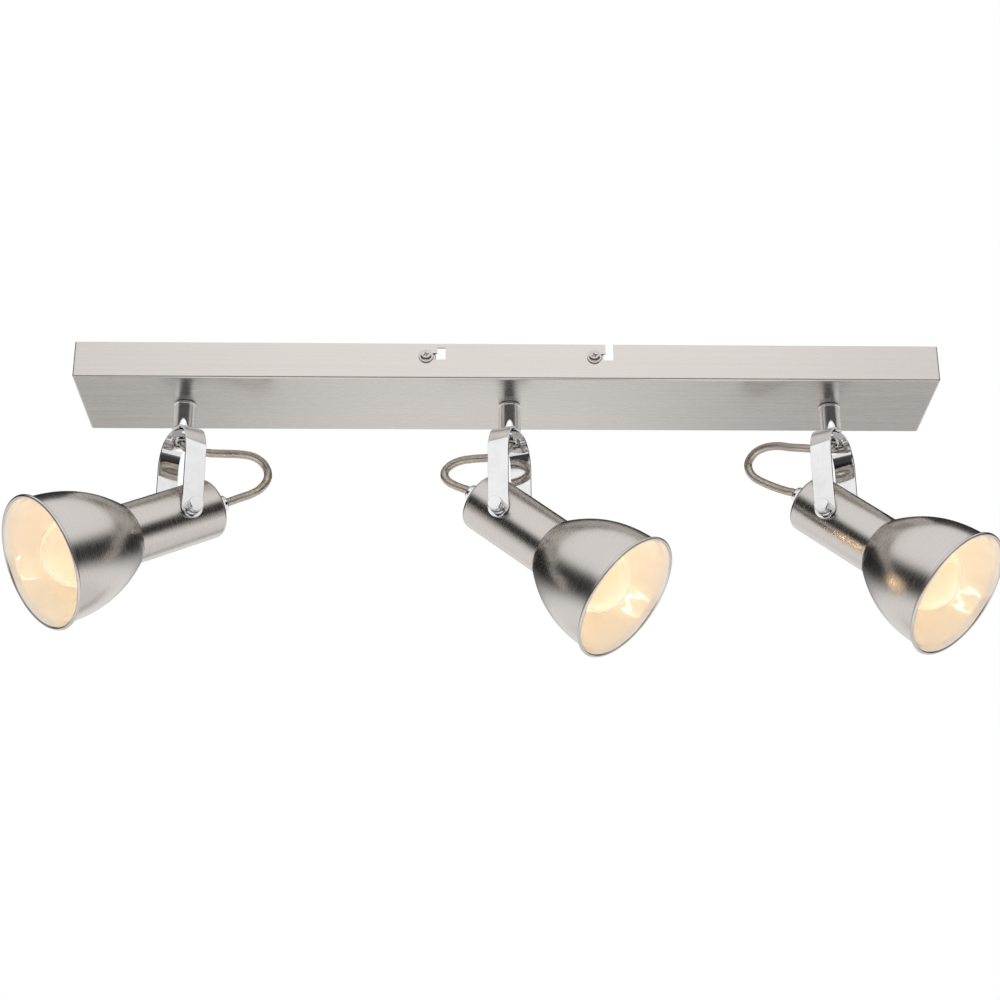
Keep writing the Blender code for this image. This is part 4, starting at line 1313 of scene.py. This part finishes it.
class SPOTBAR_OT_heads(bpy.types.Operator):
    """Build the casings, glands, bells and lampholders"""
    bl_idname = "spotbar.heads"
    bl_label = "Lamp Heads"

    def execute(self, context):
        for key in SPOT_KEYS:
            place = head_frame(key)
            body = f"head_body_{key}"
            tube = moved(casing_tube("tube"), place)
            single(f"lamp_casing_{key}", tube, "lamp", body, f"casing_{key}")
            piece(f"cable_gland_{key}", all_moved(gland_parts(), place), body,
                  [f"gland_{key}"])
            bell = moved(shade_bell("bell"), place)
            piece(f"bell_shade_{key}", [(bell, [finish("lamp"), finish("enamel")])], body,
                  [f"shade_{key}"])
            ring = lathe("ring", [
                (0.0144, 0.0450, 0.0), (0.0178, 0.0450, 0.0005), (0.0178, 0.0402, 0.0005),
                (0.0144, 0.0402, 0.0)], 3, 64)
            ring.materials.append(finish("porcelain"))
            ring = grown("ring", ring, ribs_tree(), {
                "Count": 28, "Radius": 0.0176, "Rib Width": 0.0012, "Rib Length": 0.0036,
                "Middle Height": 0.0426, "Material": finish("porcelain")})
            single(f"clamp_ring_{key}", moved(ring, place), "porcelain", body,
                   f"shade_ring_{key}")
            holder = lathe("holder", [
                (0.0, 0.0188, 0.0), (0.0075, 0.0188, 0.0), (0.0075, 0.0440, 0.0004),
                (0.0140, 0.0440, 0.0005), (0.0140, 0.0386, 0.0), (0.0172, 0.0386, 0.0003),
                (0.0172, 0.0362, 0.0003), (0.0130, 0.0340, 0.001), (0.0130, 0.0010, 0.0015),
                (0.0, 0.0010, 0.0)], 4, 64)
            single(f"bulb_holder_{key}", moved(holder, place), "porcelain", body,
                   f"lampholder_{key}")
        return {"FINISHED"}


class SPOTBAR_OT_bulbs(bpy.types.Operator):
    """Build the golf-ball bulbs and the light that each one throws"""
    bl_idname = "spotbar.bulbs"
    bl_label = "Bulbs"

    def execute(self, context):
        look = context.scene.spot_bar_look
        for key in SPOT_KEYS:
            body = f"bulb_body_{key}"
            piece(f"screw_cap_{key}", bulb_cap(key), body, [f"bulb_cap_{key}"])
            glass = moved(bulb_glass("ball"), head_frame(key))
            globe = single(f"golf_ball_{key}", glass, "glass", body,
                           f"bulb_glass_{key}")
            piece(f"filament_mount_{key}", bulb_mount(key), body, [f"bulb_mount_{key}"])
            lamp = bpy.data.lights.new(f"bulb_light_{key}", "POINT")
            lamp.energy = look.bulb_power
            lamp.color = look.glow_colour
            lamp.shadow_soft_size = 0.006
            shine = helper(f"bulb_light_{key}", lamp)
            shine.visible_glossy = False
            shine.parent = globe
            shine.matrix_world = Matrix.Translation(head_frame(key) @ Vector((0.0, 0.0, BULB_CENTRE)))
        return {"FINISHED"}


class SPOTBAR_OT_cables(bpy.types.Operator):
    """Build the braided cables from the stems into the glands"""
    bl_idname = "spotbar.cables"
    bl_label = "Cables"

    def execute(self, context):
        look = context.scene.spot_bar_look
        for key in SPOT_KEYS:
            pan = pan_frame(key)
            axis = pan.inverted().to_3x3() @ head_frame(key).to_3x3() @ Vector((0.0, 0.0, 1000.0))
            ends = [tuple(axis * (CASING_REAR - 0.0126)), tuple(axis * (CASING_REAR + 0.0060)),
                    tuple(axis * -0.0006)]
            route = [pan @ point for point in smooth_route(list(CABLE_ROUTES[key]) + ends, 0.0007)]
            core = wire("core", route, look.cable_radius - 0.00007, 5)
            sleeve = grown("sleeve", line_curve("sleeve", route), braid_tree(), {
                "Wires Each Way": look.braid_wires, "Radius": look.cable_radius - 0.00014,
                "Twist Per Metre": 330.0, "Wire Radius": 0.00009, "Weave": 0.00003,
                "Material": finish("braid")})
            cable = piece(f"braided_cable_{key}", [(core, [finish("braid_core")]),
                                                   (sleeve, [finish("braid")])],
                          None, [f"cable_{key}"])
            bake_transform(cable)
            run_length(route)
        return {"FINISHED"}


class SPOTBAR_OT_stage(bpy.types.Operator):
    """Build the floor, the soft studio light and the camera"""
    bl_idname = "spotbar.stage"
    bl_label = "Stage"

    def execute(self, context):
        scene = context.scene
        scene.view_settings.view_transform = "Standard"
        scene.view_settings.look = "None"
        self.floor()
        self.world(scene)
        self.lights()
        self.camera(scene)
        return {"FINISHED"}

    def floor(self):
        """A pale floor well below the fixture."""
        shell = bmesh.new()
        size = Matrix.Diagonal((FLOOR_HALF_SIZE, FLOOR_HALF_SIZE, 1.0, 1.0))
        bmesh.ops.create_grid(shell, x_segments=1, y_segments=1, size=1.0,
                              matrix=Matrix.Translation(FLOOR_CENTRE) @ size)
        mesh = poured(shell, bpy.data.meshes.new("floor"))
        paint = Paint("floor")
        paint.set(Base_Color=(0.85, 0.85, 0.85, 1.0), Roughness=0.9,
                  Emission_Color=(1.0, 1.0, 1.0, 1.0), Emission_Strength=0.36)
        mesh.materials.append(paint.owner)
        helper("floor", mesh)

    def world(self, scene):
        """A white room with a dark band sloping up behind, and darker low on the camera's side."""
        paint = Paint("studio", world=True)
        direction = paint.node("ShaderNodeTexCoord").outputs["Generated"]
        parts = paint.node("ShaderNodeSeparateXYZ", None, {0: direction}).outputs
        x, y, z = (Amount(paint, parts[i]) for i in range(3))
        height = z - y * 0.42 - 0.18
        behind = paint.between(y, 0.1, 0.45)
        band = paint.between(height, -0.56, -0.16) * paint.between(height - behind, 0.50, 0.18)
        band = band * paint.between(x.size() + y, -0.25, 0.10)
        front = paint.between(y * -1.0, 0.30, 0.60) * paint.between((z + 0.38).size(), 0.36, 0.20)
        corners = (paint.between(x.size(), 0.05, 0.16) * paint.between(y, 0.6, 0.8)
                   * paint.between((z + 0.43).size(), 0.18, 0.08))
        tone = paint.mix(corners, (1.0, 1.0, 1.0), (0.42, 0.42, 0.42))
        tone = paint.mix(band, tone, (0.01, 0.01, 0.01))
        tone = paint.mix(front, tone, (0.05, 0.05, 0.05))
        seen = Amount(paint, paint.node("ShaderNodeLightPath").outputs["Is Camera Ray"])
        paint.set(Color=paint.mix(seen, tone, (1.0, 1.0, 1.0)), Strength=1.0)
        scene.world = paint.owner

    def lights(self):
        """One soft box in front and one below."""
        for name, place, aim, size, power in (
                ("soft_front", (0.0, -2.0, 1.05), (0.0, 0.0, -0.02), 1.2, 1.0),
                ("soft_below", (0.0, -0.15, -0.86), (0.0, 0.0, 0.0), 0.9, 0.8)):
            light = bpy.data.lights.new(name, "AREA")
            light.size = size
            light.energy = power
            lamp = helper(name, light)
            lamp.location = place
            lamp.visible_camera = False
            lamp.rotation_euler = (Vector(aim) - Vector(place)).to_track_quat("-Z", "Y").to_euler()

    def camera(self, scene):
        """The camera, below the bar and a little left of its middle, looking up at it."""
        yaw, pitch, roll = (math.radians(angle) for angle in CAMERA_ANGLES)
        forward = Vector((math.sin(yaw) * math.cos(pitch), math.cos(yaw) * math.cos(pitch),
                          math.sin(pitch)))
        level = Vector((math.cos(yaw), -math.sin(yaw), 0.0))
        up = level.cross(forward)
        right = level * math.cos(roll) + up * math.sin(roll)
        top = up * math.cos(roll) - level * math.sin(roll)
        lens = bpy.data.cameras.new("camera")
        lens.sensor_width = 36.0
        lens.lens = CAMERA_LENS
        lens.shift_x = CAMERA_SHIFT
        lens.clip_start = 0.05
        camera = helper("camera", lens)
        turn = Matrix((right, top, -forward)).transposed().to_4x4()
        camera.matrix_world = Matrix.Translation(CAMERA_PLACE) @ turn
        scene.camera = camera


class SPOTBAR_PT_panel(bpy.types.Panel):
    """The fixture's sizes, colours and builders"""
    bl_idname = "SPOTBAR_PT_panel"
    bl_label = "Spot Bar"
    bl_space_type = "VIEW_3D"
    bl_region_type = "UI"
    bl_category = "Spot Bar"

    def draw(self, context):
        for key in SpotBarLook.__annotations__:
            self.layout.prop(context.scene.spot_bar_look, key)
        for operator in OPERATORS:
            self.layout.operator(operator.bl_idname)


OPERATORS = (SPOTBAR_OT_canopy, SPOTBAR_OT_fixings, SPOTBAR_OT_wiring, SPOTBAR_OT_stems,
             SPOTBAR_OT_yokes, SPOTBAR_OT_heads, SPOTBAR_OT_bulbs, SPOTBAR_OT_cables,
             SPOTBAR_OT_stage)


def register():
    """Register the classes and the scene's property."""
    for kind in (SpotBarLook, *OPERATORS, SPOTBAR_PT_panel):
        bpy.utils.register_class(kind)
    bpy.types.Scene.spot_bar_look = PointerProperty(type=SpotBarLook)


def unregister():
    """Take the classes and the property away again."""
    del bpy.types.Scene.spot_bar_look
    for kind in (SPOTBAR_PT_panel, *reversed(OPERATORS), SpotBarLook):
        bpy.utils.unregister_class(kind)


def main():
    """Build everything."""
    register()
    bpy.ops.spotbar.canopy()
    bpy.ops.spotbar.fixings()
    bpy.ops.spotbar.wiring()
    bpy.ops.spotbar.stems()
    bpy.ops.spotbar.yokes()
    bpy.ops.spotbar.heads()
    bpy.ops.spotbar.bulbs()
    bpy.ops.spotbar.cables()
    bpy.ops.spotbar.stage()


if __name__ == "__main__":
    main()
